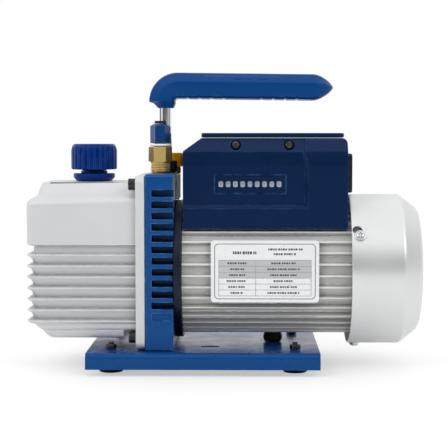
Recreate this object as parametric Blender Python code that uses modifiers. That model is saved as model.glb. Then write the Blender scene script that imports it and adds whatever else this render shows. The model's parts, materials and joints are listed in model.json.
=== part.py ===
"""Rotary vane vacuum pump: an oil-filled pump casing, a bracket and an air-cooled motor on one base plate.

All sizes in this file are millimetres; the helpers turn them into metres. +X runs along the motor axis
towards the fan, -Y is the front with the rating plate, +Z is up, and z = 0 is the underside of the feet.
"""

import math

import bmesh
import bpy
from mathutils import Matrix, Vector

MM = 0.001
GAP = 0.3
TAU = 2 * math.pi

# Motor and shaft line
AXIS_Z = 72.6
HOUSING_X = (-31.7, 94.7)
RIB_TIP_R = 48.6
RIB_ROOT_R = 44.6
RIB_COUNT = 36
RIB_START_DEG = -1.5
HOUSING_BORE_R = 40.0
SHIELD_R = 52.0
SHAFT_R = 5.0
SHOULDER_R = 7.0
AIR_GAP = 0.6
BEARING_R = 13.0
STATOR_X = (8.0, 62.0)
STATOR_BORE_R = 24.5
SLOT_COUNT = 12
SLOT_RING_R = 31.0
SLOT_R = 3.6

# Fan end
COVER_R = 56.3
COVER_X = (91.3, 132.7)
COVER_END_X = 145.0
COVER_END_R = 42.0
COVER_WALL = 1.0
COVER_SCREW_X = 97.3
COVER_SCREW_DEG = (30.0, 150.0, 270.0)
LUG_R = 54.3
FAN_BLADES = 7
VENT_COUNT = 12
VENT_R = (15.0, 36.0)
VENT_WIDTH = 4.6

# Base
BASE_X = (-100.8, 68.6)
BASE_HALF_Y = 60.0
BASE_TOP = 16.5
BASE_WALL = 2.0
BASE_LIP_Z = 4.7
FOOT_X = (-84.0, 51.0)
FOOT_Y = 38.0
FOOT_R = 9.0

# Bracket
BRACKET_X = (-58.1, -37.7)
BRACKET_HALF_Y = 50.0
BRACKET_TOP = 145.3
BRACKET_FLANGE_X = -35.2
BRACKET_FLANGE_R = 46.0
BRACKET_BORE_R = 34.0
LOUVRE_X = -53.4
LOUVRE_COUNT = 12
LOUVRE_PITCH = 8.15
LOUVRE_HEIGHT = 5.0
LOUVRE_TOP = 133.7
LOUVRE_DEPTH = 13.0

# Oil casing
CASING_LEFT = -145.0
CASING_RIGHT = -65.0
END_BOSS_X = -142.4
GLASS_Z = 72.0
DRAIN_Z = 38.0
FLANGE_X = (-65.0, -58.4)
FLANGE_Z = (17.3, 143.8)
FLANGE_HALF_Y = 50.0
GASKET_X = (-58.9, -58.4)
GASKET_INSET = 2.8
CORNER_R = 4.6
FIN_ROOT = (-140.0, 42.5)
FIN_TIP = (CASING_LEFT, 46.0)
FIN_HALF = 0.9
BOLT_Y = 43.6
BOLT_Z = (26.0, 137.6)
FIN_TOP_Z = 86.1
FIN_PITCH = 8.05
FIN_COUNT = 7
FILLER_X = -100.0
CAP_FLUTES = 24
CAP_LEVELS = [(147.5, 16.8, 16.2), (148.3, 17.4, 16.6), (162.4, 17.4, 16.6), (165.2, 16.6, 16.2)]
CAP_LEVELS += [(166.8, 14.6, 14.6), (165.4, 12.4, 12.4)]

# Pump set inside the casing
PUMP_X = (-108.0, -72.0)
PUMP_BORE_R = 22.0
PUMP_ROTOR_R = 18.0
PUMP_OFFSET = PUMP_BORE_R - PUMP_ROTOR_R - GAP
PUMP_OUTER_R = 32.0
VANE_THICK = 4.0
VANE_WIDTH = 11.0

# Fittings on the bracket
INTAKE = (-48.8, -15.0)
INTAKE_FLATS = 15.2
INTAKE_HEX_Z = (153.3, 164.8)
INTAKE_NECK_R = 7.4
FLARE_R = 4.9
FLARE_CAP_FLATS = 13.2
FLARE_CAP_Z = (167.2, 181.8)
FLARE_CAP_BORE_R = 5.3
ROD = (-46.0, 3.0)
ROD_R = 4.65
BALLAST = (-40.3, -4.0)
SIDE_PORT = (-38.4, 13.0)

# Handle
GRIP_RIGHT = 80.4
GRIP_LEFT = -58.3
GRIP_TOP = 221.0
GRIP_HEIGHT = 19.8
GRIP_HALF_Y = 13.5
GRIP_BEND_X = -36.4
GRIP_BEND_R = 12.0
GRIP_DROOP = math.radians(0.7)

# Terminal box
BOX_X = (-31.2, 89.1)
BOX_HALF_Y = 40.0
BOX_Z = (105.0, 171.1)
BOX_FACET_Z = 161.3
BOX_SHOULDER_Z = 152.0
BOX_TOP_HALF_Y = 30.0
BOX_SADDLE_R = 49.2
BOX_RECESS = 2.5
BOX_LEAN = 1.4
PANEL_RIGHT = 59.0
PANEL_BOTTOM = 122.1
LID_X = (-18.0, 87.0)
LID_Z = (171.4, 174.8)
LID_HALF_Y = 29.0
WELL_X = (7.4, 46.4)
WELL_Z = 166.2
WELL_R = 4.1
WELL_FLOOR_Y = -26.9
INLET_Z = (130.8, 159.6)
INLET_HALF_Y = 27.0
ROCKER_PIVOT = (90.2, 15.5, 145.2)


# ---------------------------------------------------------------- scene set-up


def clear_scene():
    for item in list(bpy.data.objects):
        bpy.data.objects.remove(item, do_unlink=True)


def make_collection(name):
    group = bpy.data.collections.new(name)
    bpy.context.scene.collection.children.link(group)
    return group


clear_scene()
PARTS = make_collection("rotary_vane_vacuum_pump")
CUTTERS = make_collection("cutters")


def paint(name, color, roughness, metallic=0.0):
    material = bpy.data.materials.new(name)
    material.use_nodes = True
    shader = material.node_tree.nodes["Principled BSDF"]
    shader.inputs["Base Color"].default_value = (*color, 1.0)
    shader.inputs["Roughness"].default_value = roughness
    shader.inputs["Metallic"].default_value = metallic
    return material


BLUE_PAINT = (0.03, 0.115, 0.33)
NAVY_PLASTIC = (0.012, 0.035, 0.13)
ROYAL_PLASTIC = (0.012, 0.045, 0.26)
CAST_ALUMINIUM = (0.56, 0.57, 0.57)
SHEET_STEEL = (0.7, 0.71, 0.72)
BRIGHT_STEEL = (0.62, 0.63, 0.65)
DARK_STEEL = (0.09, 0.09, 0.1)
BLACK_RUBBER = (0.02, 0.02, 0.022)
BLACK_PLASTIC = (0.025, 0.025, 0.03)
BRASS = (0.55, 0.38, 0.16)
COPPER = (0.5, 0.2, 0.09)


# ---------------------------------------------------------------- shape helpers


def add_mesh(name, bm, group=PARTS, smooth=False):
    """Turn a bmesh in millimetres into an object in metres."""
    bmesh.ops.recalc_face_normals(bm, faces=bm.faces)
    bmesh.ops.scale(bm, vec=(MM, MM, MM), verts=bm.verts)
    mesh = bpy.data.meshes.new(name)
    bm.to_mesh(mesh)
    bm.free()
    item = bpy.data.objects.new(name, mesh)
    group.objects.link(item)
    if smooth:
        mesh.shade_smooth()
        mesh.set_sharp_from_angle(angle=math.radians(35))
    if group is CUTTERS:
        hide(item)
    return item


def hide(item):
    item.hide_render = True
    item.display_type = "WIRE"


def box_bm(x, y, z):
    bm = bmesh.new()
    size = Matrix.Diagonal((x[1] - x[0], y[1] - y[0], z[1] - z[0], 1.0))
    centre = Matrix.Translation(((x[0] + x[1]) / 2, (y[0] + y[1]) / 2, (z[0] + z[1]) / 2))
    bmesh.ops.create_cube(bm, size=1.0, matrix=centre @ size)
    return bm


def box(name, x, y, z, group=PARTS, bevel=0.0):
    bm = box_bm(x, y, z)
    if bevel:
        bmesh.ops.bevel(bm, geom=bm.edges[:], offset=bevel, segments=1, affect="EDGES")
    return add_mesh(name, bm, group)


def rod(name, start, end, radius, segments=24, group=PARTS, tip_radius=None):
    """A cylinder or cone from one point to another."""
    start, end = Vector(start), Vector(end)
    run = end - start
    turn = run.to_track_quat("Z", "Y").to_matrix().to_4x4()
    bm = bmesh.new()
    bmesh.ops.create_cone(
        bm,
        cap_ends=True,
        segments=segments,
        radius1=radius,
        radius2=radius if tip_radius is None else tip_radius,
        depth=run.length,
        matrix=Matrix.Translation((start + end) / 2) @ turn,
    )
    return add_mesh(name, bm, group, smooth=True)


def prism_bm(outline, low, high, axis="Z"):
    """Extrude a closed outline along an axis; the outline is (x, y), or (y, z) for X, or (x, z) for Y."""
    place = {
        "X": lambda a, b: (low, a, b),
        "Y": lambda a, b: (a, low, b),
        "Z": lambda a, b: (a, b, low),
    }[axis]
    step = {"X": (high - low, 0, 0), "Y": (0, high - low, 0), "Z": (0, 0, high - low)}[axis]
    bm = bmesh.new()
    corners = [bm.verts.new(place(a, b)) for a, b in outline]
    rim = [bm.edges.new((corners[i - 1], corners[i])) for i in range(len(corners))]
    base = bmesh.ops.edgeloop_fill(bm, edges=rim)["faces"]
    grown = bmesh.ops.extrude_face_region(bm, geom=base, use_keep_orig=True)
    moved = [v for v in grown["geom"] if isinstance(v, bmesh.types.BMVert)]
    bmesh.ops.translate(bm, vec=step, verts=moved)
    return bm


def prism(name, outline, low, high, axis="Z", group=PARTS, bevel=0.0):
    item = add_mesh(name, prism_bm(outline, low, high, axis), group)
    if bevel:
        add_bevel(item, bevel)
    return item


def add_bevel(item, width):
    soft = item.modifiers.new("edges", "BEVEL")
    soft.width = width * MM
    soft.segments = 1
    soft.limit_method = "ANGLE"
    soft.angle_limit = math.radians(40)


def arc(centre, radius, start_deg, end_deg, steps):
    points = []
    for i in range(steps + 1):
        angle = math.radians(start_deg + (end_deg - start_deg) * i / steps)
        points.append((centre[0] + radius * math.cos(angle), centre[1] + radius * math.sin(angle)))
    return points


def rounded_rect(a, b, radius, steps=4):
    """A rounded rectangle between the corners a = (low, high) and b = (low, high)."""
    points = []
    points += arc((a[1] - radius, b[0] + radius), radius, -90, 0, steps)
    points += arc((a[1] - radius, b[1] - radius), radius, 0, 90, steps)
    points += arc((a[0] + radius, b[1] - radius), radius, 90, 180, steps)
    points += arc((a[0] + radius, b[0] + radius), radius, 180, 270, steps)
    return points


def signed_area(outline):
    return sum(a[0] * b[1] - b[0] * a[1] for a, b in zip(outline, outline[1:] + outline[:1])) / 2


def turned(name, profile, axis="X", at=(0.0, 0.0, 0.0), steps=32, group=PARTS, closed=False):
    """A turned piece: profile is (radius, height) round the section, spun about the axis."""
    mesh = bpy.data.meshes.new(name)
    if signed_area(profile) > 0:
        profile = profile[::-1]
    verts = [(r * MM, 0.0, h * MM) for r, h in profile]
    edges = [(i, i + 1) for i in range(len(verts) - 1)]
    if closed:
        edges.append((len(verts) - 1, 0))
    mesh.from_pydata(verts, edges, [])
    item = bpy.data.objects.new(name, mesh)
    group.objects.link(item)
    item.location = Vector(at) * MM
    if axis == "X":
        item.rotation_euler = (0.0, math.pi / 2, 0.0)
    spin = item.modifiers.new("turn", "SCREW")
    spin.steps = steps
    spin.render_steps = steps
    spin.use_merge_vertices = True
    spin.merge_threshold = 0.00001
    spin.use_smooth_shade = True
    if group is CUTTERS:
        hide(item)
    return item


def hexagon(centre, flats):
    return arc(centre, flats / math.sqrt(3.0), 0, 300, 5)


def combine(target, other, operation):
    step = target.modifiers.new(operation.lower(), "BOOLEAN")
    step.operation = operation
    step.solver = "EXACT"
    step.object = other


def cut(target, *others):
    for other in others:
        combine(target, other, "DIFFERENCE")


def join(target, *others):
    for other in others:
        combine(target, other, "UNION")


def dress(item, color, roughness, metallic=0.0):
    item.data.materials.append(paint(item.name, color, roughness, metallic))


def set_pivot(item, point):
    """Move an object's origin to a point without moving its shape."""
    offset = Vector(point) * MM - item.location
    back = item.rotation_euler.to_matrix().inverted() @ offset
    item.data.transform(Matrix.Translation(-back))
    item.location = Vector(point) * MM


def on_axis(radius, degrees, x):
    """A point round the motor axis; the angle runs from the front (-Y) upwards."""
    angle = math.radians(degrees)
    return (x, -radius * math.cos(angle), AXIS_Z + radius * math.sin(angle))


# ---------------------------------------------------------------- base, feet and buffer


def base_section():
    """The folded plate's section: (y, z) round the outside, then back round the inside."""
    outer_r, inner_r = 2.5, 0.5
    y, top, low = BASE_HALF_Y, BASE_TOP, BASE_LIP_Z
    in_y, in_top = y - BASE_WALL, top - BASE_WALL
    points = [(y, low)]
    points += arc((y - outer_r, top - outer_r), outer_r, 0, 90, 4)
    points += arc((-y + outer_r, top - outer_r), outer_r, 90, 180, 4)
    points += [(-y, low), (-in_y, low)]
    points += arc((-in_y + inner_r, in_top - inner_r), inner_r, 180, 90, 2)
    points += arc((in_y - inner_r, in_top - inner_r), inner_r, 90, 0, 2)
    points += [(in_y, low)]
    return points


def build_base():
    plate = prism("base_plate", base_section(), BASE_X[0], BASE_X[1], "X")
    for x in FOOT_X:
        for y in (-FOOT_Y, FOOT_Y):
            cut(plate, rod("cut_foot_hole", (x, y, 10), (x, y, 20), 2.4, 12, CUTTERS))
    slot = rounded_rect((-18.5, -4.5), (-29.0, -23.0), 2.9, 3)
    cut(plate, prism("cut_base_slot", slot, 12, 20, "Z", CUTTERS))
    dress(plate, BLUE_PAINT, 0.25)


def build_feet():
    top = BASE_TOP - BASE_WALL - GAP
    hole_r, recess_r, recess_top = 2.4, 4.4, 3.5
    head_z = BASE_TOP + 0.2
    for end, x in zip(("left", "right"), FOOT_X):
        for side, y in (("front", -FOOT_Y), ("rear", FOOT_Y)):
            profile = [
                (hole_r, top),
                (FOOT_R - 1.2, top),
                (FOOT_R, 1.0),
                (FOOT_R - 1.0, 0.0),
                (recess_r, 0.0),
                (recess_r, recess_top),
                (hole_r, recess_top),
            ]
            foot = turned(f"foot_{side}_{end}", profile, "Z", (x, y, 0), 16, closed=True)
            dress(foot, BLACK_RUBBER, 0.8)
            screw = prism(f"foot_screw_{side}_{end}", hexagon((x, y), 7.0), head_z, head_z + 3.2)
            join(screw, rod("add_shank", (x, y, 5.0), (x, y, head_z + 5.0), 2.0, 12, CUTTERS))
            dress(screw, DARK_STEEL, 0.4, 1.0)


def build_buffer():
    low, high, radius, bulge = BASE_TOP + GAP, AXIS_Z - RIB_TIP_R - GAP, 6.4, 0.8
    middle = (low + high) / 2
    profile = [(0, high), (radius - 0.6, high), (radius, high - 0.8), (radius + bulge, middle)]
    profile += [(radius, low + 0.8), (radius - 0.6, low), (0, low)]
    dress(turned("motor_buffer", profile, "Z", (35.4, 0, 0), 20), BLACK_RUBBER, 0.8)


# ---------------------------------------------------------------- pump bracket


def louvre_cutter(index, side):
    """One louvre opening on the front (-1) or rear (+1); the lowest one is only a shallow mark."""
    top = LOUVRE_TOP - index * LOUVRE_PITCH
    depth = 1.0 if index == LOUVRE_COUNT - 1 else LOUVRE_DEPTH
    edges = sorted((side * (BRACKET_HALF_Y + 1), side * (BRACKET_HALF_Y - depth)))
    right = BRACKET_X[1] - 1.5 if index == LOUVRE_COUNT - 1 else BRACKET_X[1] + 1
    name = f"cut_louvre_{index}_{'front' if side < 0 else 'rear'}"
    return box(name, (LOUVRE_X, right), edges, (top - LOUVRE_HEIGHT, top), CUTTERS)


def build_bracket():
    y, top = BRACKET_HALF_Y, BRACKET_TOP
    low = BASE_TOP + GAP
    outline = [(-y, low), (y, low)]
    outline += arc((y - 4, top - 4), 4, 0, 90, 3) + arc((-y + 4, top - 4), 4, 90, 180, 3)
    bracket = prism("pump_bracket", outline, BRACKET_X[0], BRACKET_X[1], "X", bevel=0.8)
    ends = (BRACKET_X[1] - 2, 0, AXIS_Z), (BRACKET_FLANGE_X, 0, AXIS_Z)
    join(bracket, rod("add_motor_flange", *ends, BRACKET_FLANGE_R, 40, CUTTERS))
    cut(bracket, rod("cut_chamber", (LOUVRE_X, 0, AXIS_Z), (-30, 0, AXIS_Z), BRACKET_BORE_R, 32, CUTTERS))
    cut(bracket, rod("cut_shaft_hole", (-70, 0, AXIS_Z), (-50, 0, AXIS_Z), 9.0, 24, CUTTERS))
    for index in range(LOUVRE_COUNT):
        cut(bracket, louvre_cutter(index, -1), louvre_cutter(index, 1))
    for y in (-BOLT_Y, BOLT_Y):
        for z in BOLT_Z:
            cut(bracket, rod("cut_bolt", (-65, y, z), (-46, y, z), 2.8, 12, CUTTERS))
    cut(bracket, rod("cut_intake", (*INTAKE, 128), (*INTAKE, 150), 6.3, 24, CUTTERS))
    cut(bracket, rod("cut_intake_port", (-62, INTAKE[1], 132), (INTAKE[0], INTAKE[1], 132), 3.0, 12, CUTTERS))
    cut(bracket, rod("cut_rod_socket", (*ROD, 119), (*ROD, 150), ROD_R + GAP, 20, CUTTERS))
    cut(bracket, rod("cut_ballast", (*BALLAST, 136), (*BALLAST, 150), 2.1, 12, CUTTERS))
    cut(bracket, box("cut_port_seat", (-41.8, -30), (4.0, 21.0), (124.5, 150), CUTTERS))
    dress(bracket, BLUE_PAINT, 0.4)


# ---------------------------------------------------------------- oil casing


def plan_loop(left, half_y, radius, steps=4):
    """The casing's plan outline: flat on the right, with round vertical corners on the left."""
    points = [(CASING_RIGHT, -half_y), (CASING_RIGHT, half_y)]
    points += arc((left + radius, half_y - radius), radius, 90, 180, steps)
    points += arc((left + radius, -half_y + radius), radius, 180, 270, steps)
    return points


def casing_levels():
    """(z, left x, half depth) from the bottom to the top of the casing."""
    levels = [(24.8, -128.0, 38.0), (27.0, -131.5, 41.5), (31.2, -135.0, 42.2)]
    levels += [(31.9, -136.5, 43.2), (35.4, -139.5, 44.0)]
    for index in reversed(range(FIN_COUNT)):
        z = FIN_TOP_Z - index * FIN_PITCH
        root_gap = 2 * FIN_HALF
        levels += [(z - root_gap, *FIN_ROOT), (z - FIN_HALF, *FIN_TIP)]
        levels += [(z + FIN_HALF, *FIN_TIP), (z + root_gap, *FIN_ROOT)]
    levels += [(92.6, *FIN_ROOT), (94.0, -144.6, 46.0), (122.6, -144.6, 46.0), (125.0, -143.8, 44.6)]
    levels += [(127.2, -141.4, 42.4), (129.0, -138.2, 39.0), (133.0, -137.0, 36.0)]
    levels += [(137.4, -135.4, 32.5), (138.5, -134.4, 31.4)]
    return levels


def loft(name, loops, group=PARTS):
    """Join equal closed loops of points into one closed skin."""
    bm = bmesh.new()
    rings = []
    for loop in loops:
        verts = [bm.verts.new(point) for point in loop]
        edges = [bm.edges.new((verts[i - 1], verts[i])) for i in range(len(verts))]
        rings.append((verts, edges))
    for lower, upper in zip(rings, rings[1:]):
        for i in range(len(lower[0])):
            bm.faces.new((lower[0][i - 1], lower[0][i], upper[0][i], upper[0][i - 1]))
    bmesh.ops.edgeloop_fill(bm, edges=rings[0][1])
    bmesh.ops.edgeloop_fill(bm, edges=rings[-1][1])
    return add_mesh(name, bm, group)


def gasket_outline(inset):
    """The flange outline drawn in by an inset, as (y, z)."""
    half_y = FLANGE_HALF_Y - inset
    return rounded_rect((-half_y, half_y), (FLANGE_Z[0] + inset, FLANGE_Z[1] - inset), 4.0)


def build_casing():
    loops = []
    for z, left, half_y in casing_levels():
        loops.append([(x, y, z) for x, y in plan_loop(left, half_y, CORNER_R)])
    casing = loft("oil_casing", loops)
    flange = rounded_rect((-FLANGE_HALF_Y, FLANGE_HALF_Y), FLANGE_Z, 6.0)
    join(casing, prism("add_flange", flange, FLANGE_X[0] - 0.2, FLANGE_X[1], "X", CUTTERS))
    pocket = gasket_outline(GASKET_INSET - GAP)
    cut(casing, prism("cut_gasket_pocket", pocket, GASKET_X[0] - GAP, FLANGE_X[1] + 1.0, "X", CUTTERS))
    for z, radius in ((GLASS_Z, 15.0), (DRAIN_Z, 9.0)):
        cut(casing, rod("cut_fins", (-150, 0, z), (END_BOSS_X, 0, z), radius + 0.5, 20, CUTTERS))
        join(casing, rod("add_boss", (-134, 0, z), (END_BOSS_X, 0, z), radius, 20, CUTTERS))
    inside = rounded_rect((-137.0, -40.0), (-38.0, 38.0), 14.0)
    hollow = prism("cut_oil_chamber", inside, 36.0, 120.0, "Z", CUTTERS)
    mouth = box("cut_mouth", (-70.0, -50.0), (-38.0, 38.0), (36.0, 120.0), CUTTERS)
    cut(casing, hollow, mouth)
    cut(casing, rod("cut_filler", (FILLER_X, 0, 110), (FILLER_X, 0, 145), 9.3, 24, CUTTERS))
    cut(casing, rod("cut_glass", (-150, 0, GLASS_Z), (-130, 0, GLASS_Z), 9.3, 20, CUTTERS))
    cut(casing, rod("cut_drain", (-150, 0, DRAIN_Z), (-130, 0, DRAIN_Z), 4.3, 12, CUTTERS))
    for y in (-BOLT_Y, BOLT_Y):
        for z in BOLT_Z:
            cut(casing, rod("cut_bolt", (-72, y, z), (-50, y, z), 2.8, 12, CUTTERS))
            seat_y = sorted((y - math.copysign(4.9, y), y + math.copysign(9.0, y)))
            cut(casing, box("cut_bolt_seat", (-76, -65.2), seat_y, (z - 4.9, z + 4.9), CUTTERS))
    dress(casing, CAST_ALUMINIUM, 0.45, 0.7)


def build_gasket():
    gasket = prism("casing_gasket", gasket_outline(GASKET_INSET), GASKET_X[0], GASKET_X[1], "X")
    cut(gasket, box("cut_gasket", (-62, -55), (-37.0, 37.0), (36.0, 124.0), CUTTERS))
    for y in (-BOLT_Y, BOLT_Y):
        for z in BOLT_Z:
            cut(gasket, rod("cut_bolt", (-62, y, z), (-55, y, z), 2.8, 12, CUTTERS))
    cut(gasket, rod("cut_port", (-62, INTAKE[1], 132), (-55, INTAKE[1], 132), 3.0, 12, CUTTERS))
    dress(gasket, BLACK_RUBBER, 0.7)


def build_casing_bolts():
    head_r, head_len, shank_r = 4.25, 5.0, 2.5
    for side, y in (("front", -BOLT_Y), ("rear", BOLT_Y)):
        for end, z in zip(("lower", "upper"), BOLT_Z):
            head_x = FLANGE_X[0] - 0.3
            bolt = rod(f"casing_bolt_{side}_{end}", (head_x, y, z), (head_x - head_len, y, z), head_r, 20)
            join(bolt, rod("add_shank", (head_x - 1, y, z), (-46.5, y, z), shank_r, 12, CUTTERS))
            socket = hexagon((y, z), 4.0)
            cut(bolt, prism("cut_socket", socket, head_x - head_len - 1, head_x - 2.4, "X", CUTTERS))
            dress(bolt, DARK_STEEL, 0.4, 1.0)


def build_sight_glass():
    seat, face = END_BOSS_X - GAP, CASING_LEFT
    ring = [(11.6, face), (13.4, face), (13.8, face + 0.4), (13.8, seat), (9.0, seat), (9.0, -137.0)]
    ring += [(6.8, -137.0), (6.8, -142.4), (8.2, -142.4), (8.2, face + 0.4)]
    bezel = turned("sight_glass_bezel", ring, "X", (0, 0, GLASS_Z), 20, closed=True)
    dress(bezel, BRIGHT_STEEL, 0.3, 1.0)
    pane = [(0, -142.7), (7.9, -142.7), (7.9, -144.2), (0, -144.7)]
    glass = turned("sight_glass", pane, "X", (0, 0, GLASS_Z), 20)
    dress(glass, (0.75, 0.7, 0.45), 0.05)


def build_drain_plug():
    seat = END_BOSS_X - GAP
    plug = prism("drain_plug", hexagon((0, DRAIN_Z), 12.0), CASING_LEFT, seat - 0.4, "X")
    join(plug, rod("add_collar", (seat - 0.8, 0, DRAIN_Z), (seat, 0, DRAIN_Z), 7.6, 20, CUTTERS))
    join(plug, rod("add_thread", (seat - 0.5, 0, DRAIN_Z), (-134.0, 0, DRAIN_Z), 4.0, 12, CUTTERS))
    set_pivot(plug, (seat, 0, DRAIN_Z))
    dress(plug, BRIGHT_STEEL, 0.35, 1.0)


def flute_loop(z, crest, root):
    """One level of the filler cap's fluted rim."""
    count = CAP_FLUTES * 2
    points = []
    for i in range(count):
        angle, radius = TAU * i / count, crest if i % 2 else root
        points.append((FILLER_X + radius * math.cos(angle), radius * math.sin(angle), z))
    return points


def build_filler():
    seat = [(6.0, 146.4), (10.0, 146.4), (10.0, 144.6), (15.65, 144.6), (15.65, 141.4)]
    seat += [(13.2, 138.8), (9.0, 138.8), (9.0, 128.0), (6.0, 128.0)]
    washer = [(6.3, 147.3), (9.6, 147.3), (9.6, 146.6), (6.3, 146.6)]
    ring = turned("filler_seal", washer, "Z", (FILLER_X, 0, 0), 24, closed=True)
    dress(ring, BLACK_RUBBER, 0.7)
    base = turned("filler_seat", seat, "Z", (FILLER_X, 0, 0), 24, closed=True)
    dress(base, ROYAL_PLASTIC, 0.35)
    cap = loft("filler_cap", [flute_loop(z, crest, root) for z, crest, root in CAP_LEVELS])
    join(cap, rod("add_thread", (FILLER_X, 0, 132), (FILLER_X, 0, 148), 5.7, 20, CUTTERS))
    set_pivot(cap, (FILLER_X, 0, 147.5))
    dress(cap, ROYAL_PLASTIC, 0.35)


# ---------------------------------------------------------------- pump set


def build_pump_set():
    bore_z = AXIS_Z - PUMP_OFFSET
    stator = rod("pump_stator", (PUMP_X[0], 0, bore_z), (-66, 0, bore_z), PUMP_OUTER_R, 28)
    join(stator, rod("add_boss", (-68, 0, AXIS_Z), (GASKET_X[1], 0, AXIS_Z), 22.0, 24, CUTTERS))
    cut(stator, rod("cut_bore", (-120, 0, bore_z), (PUMP_X[1], 0, bore_z), PUMP_BORE_R, 36, CUTTERS))
    cut(stator, rod("cut_shaft", (-80, 0, AXIS_Z), (-50, 0, AXIS_Z), SHAFT_R + GAP, 24, CUTTERS))
    dress(stator, (0.32, 0.32, 0.33), 0.5, 0.9)

    end = rod("pump_end_plate", (-115, 0, bore_z), (PUMP_X[0] - GAP, 0, bore_z), PUMP_OUTER_R, 28)
    cut(end, rod("cut_stub", (-120, 0, AXIS_Z), (-100, 0, AXIS_Z), 7.3, 24, CUTTERS))
    cut(end, rod("cut_exhaust", (-120, 10, bore_z + 16), (-100, 10, bore_z + 16), 2.5, 12, CUTTERS))
    dress(end, (0.32, 0.32, 0.33), 0.5, 0.9)

    length = (PUMP_X[0] + GAP, PUMP_X[1] - GAP)
    rotor = rod("pump_rotor", (length[0], 0, AXIS_Z), (length[1], 0, AXIS_Z), PUMP_ROTOR_R, 32)
    join(rotor, rod("add_stub", (-114, 0, AXIS_Z), (length[0] + 1, 0, AXIS_Z), 7.0, 24, CUTTERS))
    cut(rotor, rod("cut_shaft_seat", (-84.3, 0, AXIS_Z), (-60, 0, AXIS_Z), SHAFT_R + GAP, 24, CUTTERS))
    half = VANE_THICK / 2 + 0.2
    floor_y = PUMP_ROTOR_R - VANE_WIDTH - 0.6
    reach = (length[0] - 1, length[1] + 1)
    for side in (-1, 1):
        span = sorted((side * floor_y, side * (PUMP_ROTOR_R + 2)))
        slot = box("cut_vane_slot", reach, span, (AXIS_Z - half, AXIS_Z + half), CUTTERS)
        cut(rotor, slot)
    set_pivot(rotor, (0, 0, AXIS_Z))
    dress(rotor, BRIGHT_STEEL, 0.3, 1.0)

    tip_y = PUMP_ROTOR_R - 0.2
    for name, side in (("vane_front", -1), ("vane_rear", 1)):
        span = sorted((side * tip_y, side * (tip_y - VANE_WIDTH)))
        z = (AXIS_Z - VANE_THICK / 2, AXIS_Z + VANE_THICK / 2)
        vane = box(name, (length[0] + 0.1, length[1] - 0.1), span, z)
        set_pivot(vane, (0, 0, AXIS_Z))
        dress(vane, (0.12, 0.1, 0.08), 0.6)


# ---------------------------------------------------------------- fittings on the bracket


def build_intake():
    x, y = INTAKE
    fitting = prism("intake_fitting", hexagon(INTAKE, INTAKE_FLATS), *INTAKE_HEX_Z, bevel=0.5)
    join(fitting, rod("add_neck", (x, y, 146.2), (x, y, 154), INTAKE_NECK_R, 24, CUTTERS))
    join(fitting, rod("add_stub", (x, y, 136), (x, y, 147), 6.0, 24, CUTTERS))
    join(fitting, rod("add_flare", (x, y, 164), (x, y, 177.5), FLARE_R, 24, CUTTERS))
    cut(fitting, rod("cut_intake_bore", (x, y, 130), (x, y, 180), 2.8, 16, CUTTERS))
    dress(fitting, BRASS, 0.3, 1.0)

    seal = [(5.3, 166.9), (7.7, 166.9), (8.0, 166.0), (7.7, 165.1), (5.3, 165.1)]
    ring = turned("flare_seal", seal, "Z", (x, y, 0), 20, closed=True)
    dress(ring, (0.85, 0.84, 0.8), 0.5)

    cap = prism("flare_cap", hexagon(INTAKE, FLARE_CAP_FLATS), *FLARE_CAP_Z)
    crown = [(14, 176), (14, 186), (4.8, 186), (4.8, 181.8), (7.8, 179.6)]
    cut(cap, turned("cut_crown", crown, "Z", (x, y, 0), 24, CUTTERS, closed=True))
    cut(cap, rod("cut_cap_bore", (x, y, 160), (x, y, 178.2), FLARE_CAP_BORE_R, 24, CUTTERS))
    set_pivot(cap, (x, y, FLARE_CAP_Z[0]))
    dress(cap, ROYAL_PLASTIC, 0.35)

    tether = rod("flare_cap_tether", (x, y, 182.0), (x, y, 183.9), 4.4, 20)
    set_pivot(tether, (x, y, FLARE_CAP_Z[0]))
    dress(tether, BLACK_RUBBER, 0.7)


def build_ballast_knob():
    x, y = BALLAST
    outline = []
    teeth = 14
    for i in range(teeth * 2):
        angle = TAU * i / (teeth * 2)
        radius = 3.35 if i % 2 else 3.05
        outline.append((x + radius * math.cos(angle), y + radius * math.sin(angle)))
    knob = prism("gas_ballast_knob", outline, 145.7, 154.3)
    join(knob, rod("add_stem", (x, y, 137), (x, y, 146), 1.8, 12, CUTTERS))
    set_pivot(knob, (x, y, 145.7))
    dress(knob, BLACK_PLASTIC, 0.5)


def build_side_port():
    x, y = SIDE_PORT
    block = box("port_block", (-41.5, -35.5), (4.3, 20.7), (124.8, 144.0), bevel=0.6)
    cut(block, rod("cut_port", (x, y, 120), (x, y, 150), 2.0, 16, CUTTERS))
    dress(block, CAST_ALUMINIUM, 0.4, 0.8)
    neck = [(1.0, 155.0), (2.6, 155.0), (2.6, 149.0), (3.4, 149.0), (3.4, 144.3), (1.7, 144.3)]
    neck += [(1.7, 130.0), (1.0, 130.0)]
    fitting = turned("side_port_fitting", neck, "Z", (x, y, 0), 20, closed=True)
    dress(fitting, BRASS, 0.35, 1.0)
    shell = [(0, 160.0), (4.4, 160.0), (5.0, 159.2), (5.0, 149.4), (2.9, 149.4), (2.9, 156.5), (0, 156.5)]
    cap = turned("side_port_cap", shell, "Z", (x, y, 0), 24)
    set_pivot(cap, (x, y, 149.4))
    dress(cap, (0.75, 0.4, 0.03), 0.4)


# ---------------------------------------------------------------- handle


def grip_section(centre, normal, half_height, half_width):
    """Ten points round the grip: a narrow top, a wide ridge below it and a rounded underside."""
    right = [(0.62, 1.0), (0.98, 0.32), (1.0, 0.0), (0.9, -0.72), (0.6, -1.0)]
    left = [(-w, h) for w, h in reversed(right)]
    points = []
    for w, h in right + left:
        point = Vector(centre) + Vector(normal) * (h * half_height) + Vector((0, w * half_width, 0))
        points.append(tuple(point))
    return points


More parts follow.
